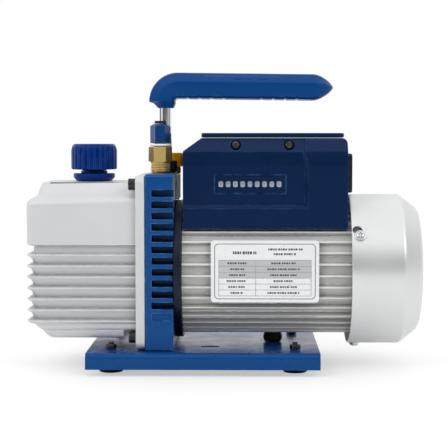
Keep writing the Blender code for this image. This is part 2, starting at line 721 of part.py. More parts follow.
def build_handle():
    x, y = ROD
    dress(rod("handle_rod", (x, y, 119.5), (x, y, 205.5), ROD_R, 24), (0.75, 0.76, 0.78), 0.08, 1.0)
    half = GRIP_HEIGHT / 2
    mid_z = GRIP_TOP - half
    loops = []
    stations = [(GRIP_RIGHT, 0.1, 0.3), (79.0, 0.5, 0.6), (75.0, 0.85, 0.85), (68.0, 1.0, 0.97)]
    stations += [(11.0, 1.0, 1.0), (-30.0, 1.0, 1.0)]
    for station_x, tall, wide in stations:
        drop = (station_x - GRIP_LEFT) * math.tan(GRIP_DROOP)
        loops.append(grip_section((station_x, y, mid_z - drop), (0, 0, 1), half * tall, GRIP_HALF_Y * wide))
    bend_steps = 6
    bend_z = mid_z - GRIP_BEND_R - 0.3
    for i in range(1, bend_steps + 1):
        angle = math.radians(90.0 * i / bend_steps)
        reach, rise = GRIP_BEND_R * math.sin(angle), GRIP_BEND_R * math.cos(angle)
        normal = (-math.sin(angle), 0, math.cos(angle))
        half_width = GRIP_HALF_Y * (1.0 - 0.25 * i / bend_steps)
        loops.append(grip_section((GRIP_BEND_X - reach, y, bend_z + rise), normal, half, half_width))
    for centre_x, z, half_length, half_width in ((-46.4, 197.0, 8.1, 8.8), (-45.7, 194.0, 6.1, 7.2)):
        loops.append(grip_section((centre_x, y, z), (-1, 0, 0), half_length, half_width))
    grip = loft("handle_grip", loops)
    cut(grip, rod("cut_rod_bore", (x, y, 180), (x, y, 206.0), ROD_R + GAP, 24, CUTTERS))
    dress(grip, (0.03, 0.13, 0.36), 0.3)


# ---------------------------------------------------------------- motor


def housing_outline():
    points = []
    root_half = math.degrees(1.5 / RIB_ROOT_R)
    tip_half = math.degrees(0.55 / RIB_TIP_R)
    for i in range(RIB_COUNT):
        middle = RIB_START_DEG + 360.0 * i / RIB_COUNT
        rib = [(RIB_ROOT_R, -root_half), (RIB_TIP_R, -tip_half)]
        rib += [(RIB_TIP_R, tip_half), (RIB_ROOT_R, root_half)]
        for radius, shift in rib:
            _, y, z = on_axis(radius, middle + shift, 0)
            points.append((y, z))
    return points


def build_motor_body():
    housing = prism("motor_housing", housing_outline(), HOUSING_X[0], HOUSING_X[1], "X")
    join(housing, box("add_plate_pad", (-9.5, 66.8), (-48.7, -42.0), (53.4, 96.4), CUTTERS))
    bore_x = (HOUSING_X[0] - 5, HOUSING_X[1] + 5)
    cut(housing, rod("cut_bore", (bore_x[0], 0, AXIS_Z), (bore_x[1], 0, AXIS_Z), HOUSING_BORE_R, 48, CUTTERS))
    dress(housing, (0.62, 0.63, 0.64), 0.4, 0.8)

    rim, seat = BRACKET_FLANGE_R + GAP, BRACKET_FLANGE_X + GAP
    front = [(BEARING_R + GAP, seat), (rim, seat), (rim, BRACKET_X[1] + GAP), (SHIELD_R, BRACKET_X[1] + GAP)]
    front += [(SHIELD_R, -32.0), (39.7, -32.0), (39.7, -28.0), (36.5, -28.0), (36.5, -30.8)]
    front += [(17.0, -30.8), (17.0, -25.5), (BEARING_R + GAP, -25.5)]
    shield = turned("motor_front_shield", front, "X", (0, 0, AXIS_Z), 36, closed=True)
    dress(shield, (0.015, 0.018, 0.03), 0.35)

    rear = [(BEARING_R + GAP, 89.5), (17.0, 89.5), (17.0, 95.0), (36.5, 95.0), (36.5, 91.0), (39.7, 91.0)]
    rear += [(39.7, 95.0), (47.5, 95.0), (47.5, 99.6), (BEARING_R + GAP, 99.6)]
    back = turned("motor_rear_shield", rear, "X", (0, 0, AXIS_Z), 30, closed=True)
    for degrees in COVER_SCREW_DEG:
        join(back, lug_block(degrees))
        hole = on_axis(43.0, degrees, COVER_SCREW_X), on_axis(60.0, degrees, COVER_SCREW_X)
        cut(back, rod("cut_lug", *hole, 1.6, 8, CUTTERS))
    dress(back, CAST_ALUMINIUM, 0.5, 0.7)

    bearing = [(SHAFT_R + GAP, 0.0), (BEARING_R, 0.0), (BEARING_R, 8.0), (SHAFT_R + GAP, 8.0)]
    for name, x in (("motor_front_bearing", -34.5), ("motor_rear_bearing", 91.0)):
        race = turned(name, bearing, "X", (x, 0, AXIS_Z), 24, closed=True)
        dress(race, BRIGHT_STEEL, 0.25, 1.0)


def lug_block(degrees):
    """A block that reaches out from the rear shield to just under the fan cover."""
    turn = Matrix.Translation((0, 0, AXIS_Z)) @ Matrix.Rotation(-math.radians(degrees), 4, "X")
    bm = box_bm((95.0, 99.6), (-LUG_R, -44.0), (-5.0, 5.0))
    bmesh.ops.transform(bm, matrix=turn, verts=bm.verts)
    return add_mesh("add_lug_block", bm, CUTTERS)


def build_motor_core():
    core = rod("stator_core", (STATOR_X[0], 0, AXIS_Z), (STATOR_X[1], 0, AXIS_Z), HOUSING_BORE_R - GAP, 36)
    cut(core, rod("cut_core_bore", (0, 0, AXIS_Z), (70, 0, AXIS_Z), STATOR_BORE_R, 30, CUTTERS))
    ring = [(26.5, 0.0), (36.5, 0.0), (36.5, 12.0), (26.5, 12.0)]
    winding = turned("stator_windings", ring, "X", (STATOR_X[0] - 12.5, 0, AXIS_Z), 24, closed=True)
    join(winding, turned("add_far_ring", ring, "X", (STATOR_X[1] + 0.5, 0, AXIS_Z), 24, CUTTERS, closed=True))
    for i in range(SLOT_COUNT):
        degrees = 360.0 * i / SLOT_COUNT + 15.0
        start, end = on_axis(SLOT_RING_R, degrees, 0), on_axis(SLOT_RING_R, degrees, 70)
        cut(core, rod("cut_slot", start, end, SLOT_R, 8, CUTTERS))
        inner = on_axis(SLOT_RING_R, degrees, STATOR_X[0] - 6), on_axis(SLOT_RING_R, degrees, STATOR_X[1] + 6)
        join(winding, rod("add_bar", *inner, SLOT_R - 0.6, 6, CUTTERS))
    dress(core, (0.3, 0.3, 0.32), 0.5, 0.9)
    dress(winding, COPPER, 0.35, 0.9)


def build_rotor():
    shaft = rod("motor_shaft", (-84.0, 0, AXIS_Z), (121.0, 0, AXIS_Z), SHAFT_R, 24)
    shoulder = (STATOR_X[0] - 20, 0, AXIS_Z), (STATOR_X[1] + 20, 0, AXIS_Z)
    join(shaft, rod("add_shoulder", *shoulder, SHOULDER_R, 24, CUTTERS))
    set_pivot(shaft, (0, 0, AXIS_Z))
    dress(shaft, BRIGHT_STEEL, 0.2, 1.0)
    ends = (STATOR_X[0] - 2, 0, AXIS_Z), (STATOR_X[1] + 2, 0, AXIS_Z)
    cage = rod("motor_rotor", *ends, STATOR_BORE_R - AIR_GAP, 30)
    cut(cage, rod("cut_cage_bore", (0, 0, AXIS_Z), (70, 0, AXIS_Z), SHOULDER_R + GAP, 24, CUTTERS))
    set_pivot(cage, (0, 0, AXIS_Z))
    dress(cage, (0.4, 0.4, 0.42), 0.4, 0.9)


def fan_blade(index):
    turn = Matrix.Translation((0, 0, AXIS_Z)) @ Matrix.Rotation(TAU * index / FAN_BLADES, 4, "X")
    bm = box_bm((105.5, 124.0), (8.0, 46.0), (-0.9, 0.9))
    bmesh.ops.transform(bm, matrix=turn, verts=bm.verts)
    return add_mesh("add_blade", bm, CUTTERS)


def build_fan():
    hub = [(SHAFT_R + GAP, 104.0), (9.5, 104.0), (9.5, 104.6), (44.0, 104.6), (44.0, 106.2), (9.5, 106.2)]
    hub += [(9.5, 120.0), (SHAFT_R + GAP, 120.0)]
    fan = turned("cooling_fan", hub, "X", (0, 0, AXIS_Z), 24, closed=True)
    for index in range(FAN_BLADES):
        join(fan, fan_blade(index))
    set_pivot(fan, (0, 0, AXIS_Z))
    dress(fan, BLACK_PLASTIC, 0.5)


def cover_profile():
    """Half section of the fan cover as (radius, x): outside from the rim to the end, then back inside."""
    bend = [(COVER_R, COVER_X[1]), (54.6, 136.4), (47.0, 143.2), (COVER_END_R, 144.7)]
    outer = [(COVER_R, COVER_X[0])] + bend + [(0.0, COVER_END_X)]
    inner = [(0.0, COVER_END_X - COVER_WALL)] + [(r - 0.75, x - 0.85) for r, x in reversed(bend[1:])]
    inner += [(COVER_R - COVER_WALL, COVER_X[1] - 0.4), (COVER_R - COVER_WALL, COVER_X[0])]
    return outer + inner


def vent_cutter(index):
    """One radial air slot in the end of the fan cover."""
    turn = Matrix.Translation((0, 0, AXIS_Z)) @ Matrix.Rotation(TAU * index / VENT_COUNT, 4, "X")
    half = VENT_WIDTH / 2
    outline = arc((VENT_R[0], 0.0), half, 90, 270, 3) + arc((VENT_R[1], 0.0), half, -90, 90, 3)
    bm = prism_bm(outline, 140.0, 150.0, "X")
    bmesh.ops.transform(bm, matrix=turn, verts=bm.verts)
    return add_mesh("cut_vent", bm, CUTTERS)


def build_fan_cover():
    cover = turned("fan_cover", cover_profile(), "X", (0, 0, AXIS_Z), 36, closed=True)
    for index in range(VENT_COUNT):
        cut(cover, vent_cutter(index))
    for degrees in COVER_SCREW_DEG:
        start, end = on_axis(52.0, degrees, COVER_SCREW_X), on_axis(60.0, degrees, COVER_SCREW_X)
        cut(cover, rod("cut_screw_hole", start, end, 2.3, 12, CUTTERS))
        wide = degrees + math.degrees(4.6 / COVER_R)
        start, end = on_axis(52.0, wide, COVER_SCREW_X - 1.8), on_axis(60.0, wide, COVER_SCREW_X - 1.8)
        cut(cover, rod("cut_key_hole", start, end, 3.6, 14, CUTTERS))
    dress(cover, SHEET_STEEL, 0.25, 0.95)
    for number, degrees in enumerate(COVER_SCREW_DEG, 1):
        head_r = COVER_R + GAP
        screw = rod(
            f"fan_cover_screw_{number}",
            on_axis(head_r, degrees, COVER_SCREW_X),
            on_axis(head_r + 2.6, degrees, COVER_SCREW_X),
            4.0,
            20,
            tip_radius=3.0,
        )
        shank = on_axis(45.0, degrees, COVER_SCREW_X), on_axis(head_r + 0.5, degrees, COVER_SCREW_X)
        join(screw, rod("add_shank", *shank, 1.3, 10, CUTTERS))
        for long, wide in ((2.2, 0.5), (0.5, 2.2)):
            cut(screw, cross_cutter(degrees, head_r + 1.3, long, wide))
        dress(screw, BRIGHT_STEEL, 0.3, 1.0)


def cross_cutter(degrees, depth, long, wide):
    """One bar of the cross recess in a fan cover screw."""
    turn = Matrix.Translation((0, 0, AXIS_Z)) @ Matrix.Rotation(-math.radians(degrees), 4, "X")
    bm = box_bm((COVER_SCREW_X - long, COVER_SCREW_X + long), (-62.0, -depth), (-wide, wide))
    bmesh.ops.transform(bm, matrix=turn, verts=bm.verts)
    return add_mesh("cut_cross", bm, CUTTERS)


def build_rating_plate():
    outline = rounded_rect((-10.5, 67.8), (52.4, 97.4), 2.5)
    plate = prism("rating_plate", outline, -49.8, -49.0, "Y")
    dress(plate, (0.72, 0.73, 0.75), 0.3, 0.9)


# ---------------------------------------------------------------- terminal box


def box_section():
    """The terminal box's section as (y, z)."""
    y, top_y = BOX_HALF_Y, BOX_TOP_HALF_Y
    low, high = BOX_Z
    front = [(-y, low), (-y, BOX_SHOULDER_Z), (-y + BOX_LEAN, BOX_FACET_Z), (-top_y, high)]
    rear = [(top_y, high), (y - BOX_LEAN, BOX_FACET_Z), (y, BOX_SHOULDER_Z), (y, low)]
    return front + rear


def panel_section():
    """The sunk front panel: the air in front of it, with a sloping ledge along the bottom."""
    face = -BOX_HALF_Y + BOX_RECESS
    rim = -BOX_TOP_HALF_Y + BOX_RECESS
    points = [(face - 8, PANEL_BOTTOM - 8), (face, PANEL_BOTTOM), (face, BOX_SHOULDER_Z)]
    points += [(face + BOX_LEAN, BOX_FACET_Z), (rim, BOX_Z[1]), (rim, BOX_Z[1] + 5), (face - 8, BOX_Z[1] + 5)]
    return points


def build_terminal_box():
    left, right = BOX_X
    shell = prism("terminal_box", box_section(), left, right, "X")
    cut(shell, prism("cut_panel", panel_section(), left - 1, PANEL_RIGHT, "X", CUTTERS))
    slope = [(left - 1, 160.5), (left - 1, 173), (left + 14.3, 173), (left + 13.5, BOX_Z[1]), (left, 161.3)]
    cut(shell, prism("cut_left_slope", slope, -50, 50, "Y", CUTTERS))
    cut(shell, box("cut_cavity", (-25.0, 86.3), (-35.0, 35.0), (126.0, 158.0), CUTTERS))
    cut(shell, box("cut_mouth", (-12.0, 82.0), (-25.0, 25.0), (150.0, 180.0), CUTTERS))
    cut(shell, rod("cut_saddle", (-50, 0, AXIS_Z), (100, 0, AXIS_Z), BOX_SADDLE_R, 48, CUTTERS))
    cut(shell, box("cut_wire_way", (10, 40), (-8, 8), (100, 130), CUTTERS))
    cut(shell, box("cut_badge", (-7.7, 43.5), (-45, -36.7), (131.0, 144.0), CUTTERS))
    for x in WELL_X:
        cut(shell, rod("cut_well", (x, -45, WELL_Z), (x, WELL_FLOOR_Y, WELL_Z), WELL_R, 20, CUTTERS))
        cut(shell, rod("cut_well_hole", (x, -30, WELL_Z), (x, -20, WELL_Z), 1.8, 10, CUTTERS))
    inlet_y = (-INLET_HALF_Y + 2, INLET_HALF_Y - 2)
    cut(shell, box("cut_inlet_window", (80, 95), inlet_y, (INLET_Z[0] + 2, INLET_Z[1] - 4), CUTTERS))
    dress(shell, NAVY_PLASTIC, 0.35)


def build_lid():
    outline = rounded_rect(LID_X, (-LID_HALF_Y, LID_HALF_Y), 4.0, 3)
    dress(prism("terminal_box_lid", outline, *LID_Z, bevel=0.6), NAVY_PLASTIC, 0.35)


def build_box_screws():
    """Cross-slotted screws at the bottom of the two wells."""
    seat_y, long, wide = WELL_FLOOR_Y - GAP, 2.0, 0.4
    head_y = seat_y - 1.8
    for number, x in enumerate(WELL_X, 1):
        ends = (x, seat_y, WELL_Z), (x, head_y, WELL_Z)
        screw = rod(f"box_screw_{number}", *ends, 3.2, 16, tip_radius=2.7)
        join(screw, rod("add_shank", (x, seat_y - 1, WELL_Z), (x, -21.0, WELL_Z), 1.5, 10, CUTTERS))
        for half_x, half_z in ((long, wide), (wide, long)):
            slot_x, slot_z = (x - half_x, x + half_x), (WELL_Z - half_z, WELL_Z + half_z)
            cut(screw, box("cut_slot", slot_x, (head_y - 1, head_y + 0.8), slot_z, CUTTERS))
        dress(screw, DARK_STEEL, 0.4, 1.0)


def build_capacitor():
    drum = rod("start_capacitor", (-20.0, 0, 142.0), (42.0, 0, 142.0), 15.0, 28)
    dress(drum, (0.6, 0.61, 0.62), 0.35, 0.8)


def build_inlet():
    low, high = INLET_Z
    outline = rounded_rect((-INLET_HALF_Y, INLET_HALF_Y), INLET_Z, 3.0, 3)
    inlet = prism("power_inlet", outline, BOX_X[1] + GAP, 93.2, "X", bevel=0.6)
    half_y = INLET_HALF_Y - 2.4
    join(inlet, box("add_inlet_body", (66.0, 90.0), (-half_y, half_y), (low + 2.4, high - 4.4), CUTTERS))
    socket = [(-22, 137.5), (-22, 149.0), (-18.5, 153.0), (-1.5, 153.0), (2, 149.0), (2, 137.5)]
    cut(inlet, prism("cut_socket", socket, 75.0, 100.0, "X", CUTTERS))
    pivot_x, pivot_y, pivot_z = ROCKER_PIVOT
    window = (pivot_y - 6.5, pivot_y + 6.5), (pivot_z - 11.5, pivot_z + 9.6)
    cut(inlet, box("cut_rocker_window", (79.0, 100.0), *window, CUTTERS))
    for y, z in ((-15.5, 148.5), (-10.0, 143.0), (-4.5, 148.5)):
        blade = box("add_pin", (74.0, 91.0), (y - 1.0, y + 1.0), (z - 2.2, z + 2.2), CUTTERS)
        join(inlet, blade)
    dress(inlet, BLACK_PLASTIC, 0.45)

    tilt = math.radians(8.0)
    shape = [(-6.0, -6.0), (1.6, -9.4), (4.6, -9.1), (2.0, 0.0), (4.6, 9.1), (1.6, 9.4), (-6.0, 6.0)]
    outline = []
    for u, v in shape:
        du, dv = u * math.cos(tilt) - v * math.sin(tilt), u * math.sin(tilt) + v * math.cos(tilt)
        outline.append((pivot_x + du, pivot_z - 0.9 + dv))
    rocker = prism("switch_rocker", outline, pivot_y - 6.0, pivot_y + 6.0, "Y", bevel=0.4)
    set_pivot(rocker, (pivot_x, pivot_y, pivot_z - 0.9))
    dress(rocker, (0.45, 0.02, 0.02), 0.35)


# ---------------------------------------------------------------- build


build_base()
build_feet()
build_buffer()
build_bracket()
build_casing()
build_gasket()
build_casing_bolts()
build_sight_glass()
build_drain_plug()
build_filler()
build_pump_set()
build_intake()
build_ballast_knob()
build_side_port()
build_handle()
build_motor_body()
build_motor_core()
build_rotor()
build_fan()
build_fan_cover()
build_rating_plate()
build_terminal_box()
build_lid()
build_box_screws()
build_capacitor()
build_inlet()
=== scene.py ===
"""Finished look of the rotary vane vacuum pump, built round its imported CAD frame.

Sizes are millimetres and helpers turn them into metres. The row frame is the CAD's: +X towards the fan,
-Y to the front, +Z up from the floor. Each finished piece stands for one CAD node and rides on its body.
"""

import json
import math

import bmesh
import bpy
from mathutils import Matrix, Vector


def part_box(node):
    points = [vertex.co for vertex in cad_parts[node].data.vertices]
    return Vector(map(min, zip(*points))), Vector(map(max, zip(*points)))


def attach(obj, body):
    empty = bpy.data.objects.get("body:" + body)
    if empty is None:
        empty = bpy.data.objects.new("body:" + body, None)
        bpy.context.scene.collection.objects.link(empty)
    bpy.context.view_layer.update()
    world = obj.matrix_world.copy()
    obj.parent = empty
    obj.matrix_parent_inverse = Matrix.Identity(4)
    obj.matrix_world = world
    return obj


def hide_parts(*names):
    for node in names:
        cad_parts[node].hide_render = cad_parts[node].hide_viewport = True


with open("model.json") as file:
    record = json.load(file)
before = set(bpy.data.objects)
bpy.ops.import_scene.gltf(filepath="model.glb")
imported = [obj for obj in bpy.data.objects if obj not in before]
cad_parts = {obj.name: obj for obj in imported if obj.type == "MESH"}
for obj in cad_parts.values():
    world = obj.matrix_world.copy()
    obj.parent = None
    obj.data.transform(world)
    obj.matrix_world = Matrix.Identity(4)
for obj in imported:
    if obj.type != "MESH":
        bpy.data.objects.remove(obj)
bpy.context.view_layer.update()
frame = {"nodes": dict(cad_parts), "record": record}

MM = 0.001
TAU = 2 * math.pi
RECORD = frame["record"]
BODY_OF = {node: body for body, nodes in RECORD["behaviour"]["bodies"].items() for node in nodes}
SLOT_OF = {part["node"]: part["material_slot"] for part in RECORD["subparts"]}


def span(node):
    """A node's (x, y, z) extents in millimetres, each as (low, high)."""
    low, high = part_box(node)
    return [(low[i] / MM, high[i] / MM) for i in range(3)]


def middle(node):
    """The centre of a node's box in millimetres."""
    return [(low + high) / 2 for low, high in span(node)]


HOUSING = span("motor_housing")
CASING = span("oil_casing")
CASING_LOFT_END = CASING[0][1] - 6.0
AXIS_Z = middle("fan_cover")[2]
FINS, FIN_PITCH, TOP_FIN_Z = 7, 8.05, 86.1
COVER_SCREW_ANGLES = (30.0, 150.0, 270.0)
GRIP_HALF_HEIGHT, GRIP_SLOPE = 9.9, 0.7
PRINT_DEPTH = 0.06


# ---------- materials


class Tree:
    """A small builder for one node tree."""

    def __init__(self, owner):
        owner.use_nodes = True
        self.nodes = owner.node_tree.nodes
        self.links = owner.node_tree.links

    def feed(self, node, inputs):
        """Give inputs, named or numbered, a plain value or another node's output."""
        for name, value in inputs.items():
            if isinstance(value, bpy.types.NodeSocket):
                self.links.new(value, node.inputs[name])
            else:
                node.inputs[name].default_value = value
        return node

    def add(self, kind, inputs):
        return self.feed(self.nodes.new(kind), inputs)

    def math(self, operation, first, second):
        node = self.add("ShaderNodeMath", {0: first, 1: second})
        node.operation = operation
        return node.outputs["Value"]

    def spread(self, value, low, high, start=0.3, end=0.7, shape="LINEAR"):
        """Map a value, such as a noise, onto a range."""
        inputs = {"Value": value, "From Min": start, "From Max": end, "To Min": low, "To Max": high}
        node = self.add("ShaderNodeMapRange", inputs)
        node.interpolation_type = shape
        return node.outputs["Result"]


class Shader(Tree):
    """The node tree of one material."""

    def __init__(self, name):
        self.material = bpy.data.materials.new(name)
        super().__init__(self.material)
        self.surface = self.nodes["Principled BSDF"]
        self.place = self.nodes.new("ShaderNodeTexCoord").outputs["Object"]

    def stretch(self, scale):
        return self.add("ShaderNodeMapping", {"Vector": self.place, "Scale": scale}).outputs["Vector"]

    def noise(self, scale, detail=3.0, vector=None):
        inputs = {"Vector": vector or self.place, "Scale": scale, "Detail": detail}
        return self.add("ShaderNodeTexNoise", inputs).outputs["Fac"]

    def mix(self, factor, first, second):
        """Blend two colours; each is a socket or an (r, g, b)."""
        node = self.nodes.new("ShaderNodeMix")
        node.data_type = "RGBA"
        self.links.new(factor, node.inputs["Factor"])
        for name, value in (("A", first), ("B", second)):
            socket = [s for s in node.inputs if s.name == name and s.type == "RGBA"][0]
            if isinstance(value, tuple):
                socket.default_value = (*value, 1.0)
            else:
                self.links.new(value, socket)
        return [s for s in node.outputs if s.type == "RGBA"][0]

    def bump(self, height, strength, distance, below=None):
        inputs = {"Height": height, "Strength": strength, "Distance": distance * MM}
        if below:
            inputs["Normal"] = below
        return self.add("ShaderNodeBump", inputs).outputs["Normal"]

    def edges(self, width=0.9):
        """One along edges sharper than the width, zero on flats."""
        bevel = self.add("ShaderNodeBevel", {"Radius": width * MM})
        bevel.samples = 4
        facing = self.nodes.new("ShaderNodeNewGeometry").outputs["Normal"]
        agree = self.add("ShaderNodeVectorMath", {0: bevel.outputs["Normal"], 1: facing})
        agree.operation = "DOT_PRODUCT"
        return self.spread(agree.outputs["Value"], 1.0, 0.0, 0.9, 0.99)

    def painted_hollow_shade(self, depth, dark):
        """Painted shade: the given darkness inside grooves and slots of the same piece, taken from its
        ambient occlusion, zero in the open.
        """
        shelter = self.add("ShaderNodeAmbientOcclusion", {"Distance": depth * MM})
        shelter.samples = 5
        shelter.only_local = True
        return self.spread(shelter.outputs["AO"], dark, 0.0, 0.2, 0.9)


def shade(color, factor):
    return tuple(min(1.0, c * factor) for c in color)


def finish(
    name, color, rough, metal, vary, grain, wear_and_highlight=None, coat=0.0, stretch=None, dark=0.0
):
    """A surface with broad colour variation, fine grain, uneven roughness, edges lightened partly by wear and
    partly as a painted highlight, and painted shade in its grooves and slots.

    Colours are 8-bit display ones; grain is (noise scale, bump strength, bump height in mm); worn is
    (edge colour, amount), a lighter edge colour that is partly wear and partly a painted highlight;
    stretch draws the grain out along an axis; dark is how far the painted shade darkens grooves.
    """
    build, color = Shader(name), srgb(*color)
    vector = build.stretch(stretch) if stretch else None
    broad = build.spread(build.noise(22.0, 4.0), 0.0, 1.0)
    base = build.mix(broad, shade(color, 1.0 - vary), shade(color, 1.0 + vary))
    speck = build.spread(build.noise(grain[0] * 0.6, 2.0, vector), 0.0, 1.0, 0.35, 0.65)
    fleck = build.math("MULTIPLY", speck, build.spread(speck, 0.2, 0.35))
    base = build.mix(fleck, base, shade(color, 1.0 - 2 * vary))
    # Painted shade: grooves and slots darken towards a dim copy of the colour where the piece occludes
    # itself.
    if dark:
        base = build.mix(build.painted_hollow_shade(7.0, dark), base, shade(color, 0.12))
    # Edges lighten in patches, partly as wear and partly as a painted highlight where edges catch the light.
    if wear_and_highlight:
        patch = build.spread(build.noise(140.0, 5.0), 0.0, wear_and_highlight[1], 0.42, 0.6)
        base = build.mix(build.math("MULTIPLY", build.edges(), patch), base, srgb(*wear_and_highlight[0]))
    patches = build.noise(60.0, 4.0, vector)
    ripple = build.bump(build.noise(90.0, 2.0), 0.03, 0.1)
    build.feed(build.surface, {
        "Base Color": base,
        "Roughness": build.spread(patches, rough - 0.06, rough + 0.06),
        "Normal": build.bump(build.noise(grain[0], 3.0, vector), grain[1], grain[2], ripple),
        "Metallic": metal,
        "Coat Weight": coat,
        "Coat Roughness": 0.12,
    })
    if not metal:
        peak = max(color)
        tint = (*(0.15 + 0.85 * c / peak for c in color), 1.0)
        build.feed(build.surface, {"Specular Tint": tint, "Specular IOR Level": 0.4})
    return build.material


def srgb(r, g, b):
    """An 8-bit display colour as linear light."""
    def lift(v):
        v /= 255.0
        return v / 12.92 if v <= 0.04045 else ((v + 0.055) / 1.055) ** 2.4
    return lift(r), lift(g), lift(b)


# Colour, roughness, metal, colour variation, grain, edge wear and painted edge highlight, coat, stretch,
# painted shade in grooves.
FINISHES = {
    "blue_paint": (
        (12, 66, 124), 0.28, 0.0, 0.03, (1400.0, 0.1, 0.05), ((96, 150, 205), 0.7), 0.1, None, 0.9
    ),
    "navy_plastic": ((7, 27, 57), 0.3, 0.0, 0.03, (2600.0, 0.1, 0.03), ((54, 98, 156), 0.6)),
    "royal_plastic": (
        (6, 44, 112), 0.34, 0.0, 0.04, (2600.0, 0.1, 0.04), ((60, 110, 190), 0.5), 0.0, None, 0.8
    ),
    "grip_plastic": ((8, 60, 118), 0.34, 0.0, 0.03, (2400.0, 0.12, 0.04), ((80, 150, 210), 0.5)),
    "cast_aluminium": (
        (204, 205, 206), 0.5, 0.25, 0.03, (1900.0, 0.5, 0.12), ((238, 239, 240), 0.8), 0.0, None,
        0.5
    ),
    "ribbed_aluminium": (
        (216, 216, 213), 0.42, 0.35, 0.03, (1200.0, 0.25, 0.06), ((250, 250, 250), 0.9), 0.0,
        (0.08, 1.0, 1.0), 0.85
    ),
    "sheet_steel": (
        (214, 216, 216), 0.34, 0.6, 0.02, (1500.0, 0.08, 0.02), ((245, 245, 245), 0.6), 0.0,
        (1.0, 0.15, 0.15)
    ),
    "bright_steel": (
        (200, 202, 206), 0.26, 1.0, 0.04, (1800.0, 0.15, 0.04), ((235, 235, 238), 0.8)
    ),
    "dark_steel": ((52, 54, 58), 0.36, 0.85, 0.1, (1800.0, 0.2, 0.05), ((150, 150, 155), 0.8)),
    "cast_iron": ((108, 108, 110), 0.5, 0.8, 0.08, (1500.0, 0.5, 0.12), ((165, 165, 168), 0.7)),
    "core_steel": (
        (105, 106, 110), 0.4, 0.85, 0.08, (1500.0, 0.4, 0.08), ((170, 170, 175), 0.6), 0.0,
        (3.0, 0.02, 0.02)
    ),
    "copper_wire": ((176, 98, 56), 0.32, 0.85, 0.1, (1500.0, 0.7, 0.2), None, 0.4, (0.3, 1.0, 0.3)),
    "brass": ((212, 184, 116), 0.34, 0.8, 0.05, (1500.0, 0.15, 0.04), ((240, 215, 150), 0.7)),
    "black_shield": ((12, 15, 22), 0.4, 0.0, 0.1, (1500.0, 0.25, 0.08), ((50, 54, 64), 0.5)),
    "black_plastic": ((18, 19, 22), 0.42, 0.0, 0.1, (2200.0, 0.25, 0.06), ((56, 58, 64), 0.5)),
    "black_rubber": ((20, 20, 22), 0.72, 0.0, 0.12, (1300.0, 0.4, 0.1), ((54, 54, 56), 0.5)),
    "carbon_vane": ((62, 54, 46), 0.5, 0.0, 0.1, (1200.0, 0.3, 0.08), ((100, 92, 84), 0.5)),
    "white_seal": ((236, 234, 226), 0.45, 0.0, 0.03, (1500.0, 0.12, 0.05), ((250, 250, 246), 0.5)),
    "yellow_plastic": (
        (232, 160, 22), 0.36, 0.0, 0.06, (1800.0, 0.15, 0.05), ((250, 215, 110), 0.5)
    ),
    "red_plastic": ((176, 26, 24), 0.32, 0.0, 0.05, (2000.0, 0.1, 0.04), ((220, 90, 80), 0.5)),
    "flare_blue": (
        (12, 52, 100), 0.28, 0.0, 0.03, (2400.0, 0.1, 0.04), ((140, 180, 220), 0.7), 0.3
    ),
    "badge_silver": (
        (150, 158, 166), 0.35, 0.5, 0.05, (2400.0, 0.15, 0.04), ((220, 224, 228), 0.7)
    ),
    "port_metal": ((226, 229, 233), 0.34, 0.2, 0.03, (1800.0, 0.2, 0.05), ((245, 245, 248), 0.6)),
    "plate_face": ((232, 233, 234), 0.3, 0.25, 0.04, (1500.0, 0.06, 0.02), None, 0.2),
    "plate_grey": ((190, 191, 192), 0.4, 0.2, 0.05, (1500.0, 0.06, 0.02)),
    "plate_ink": ((62, 64, 70), 0.5, 0.0, 0.15, (1500.0, 0.06, 0.02)),
}
MATERIALS = {name: finish(name, *values) for name, values in FINISHES.items()}


def oil_glass():
    build = Shader("oil_glass")
    tone = build.spread(build.noise(120.0, 2.0), 0.0, 1.0)
    build.feed(build.surface, {
        "Base Color": build.mix(tone, srgb(236, 224, 170), srgb(246, 238, 200)),
        "Normal": build.bump(build.noise(400.0), 0.05, 0.05),
        "Roughness": 0.04,
        "IOR": 1.5,
        "Transmission Weight": 0.85,
    })
    return build.material


def chrome():
    """Bright plating with long dark and light streaks along the bar, a painted reflection set in its colour.
    """
    build = Shader("chrome")
    # Painted reflection: streaks along the bar mix a dark and a light colour.
    reflection_streak = build.noise(420.0, 2.0, build.stretch((1.0, 1.0, 0.004)))
    tone = build.spread(reflection_streak, 0.0, 1.0, 0.42, 0.54)
    build.feed(build.surface, {
        "Base Color": build.mix(tone, srgb(92, 92, 100), srgb(236, 238, 241)),
        "Normal": build.bump(build.noise(1200.0), 0.04, 0.02),
        "Roughness": build.spread(build.noise(80.0), 0.06, 0.14),
        "Metallic": 1.0,
    })
    return build.material


MATERIALS["oil_glass"] = oil_glass()
MATERIALS["chrome"] = chrome()


# ---------- mesh helpers


def to_object(name, bm, in_mm=True):
    bmesh.ops.recalc_face_normals(bm, faces=bm.faces)
    if in_mm:
        bmesh.ops.scale(bm, vec=(MM, MM, MM), verts=bm.verts)
    mesh = bpy.data.meshes.new(name)
    bm.to_mesh(mesh)
    bm.free()
    item = bpy.data.objects.new(name, mesh)
    bpy.context.scene.collection.objects.link(item)
    return item


def bake(item):
    """Apply every modifier to the object's own mesh."""
    graph = bpy.context.evaluated_depsgraph_get()
    mesh = bpy.data.meshes.new_from_object(item.evaluated_get(graph))
    item.modifiers.clear()
    item.data = mesh
    return item


def smooth(item, angle=32.0):
    item.data.shade_smooth()
    item.data.set_sharp_from_angle(angle=math.radians(angle))
    return item


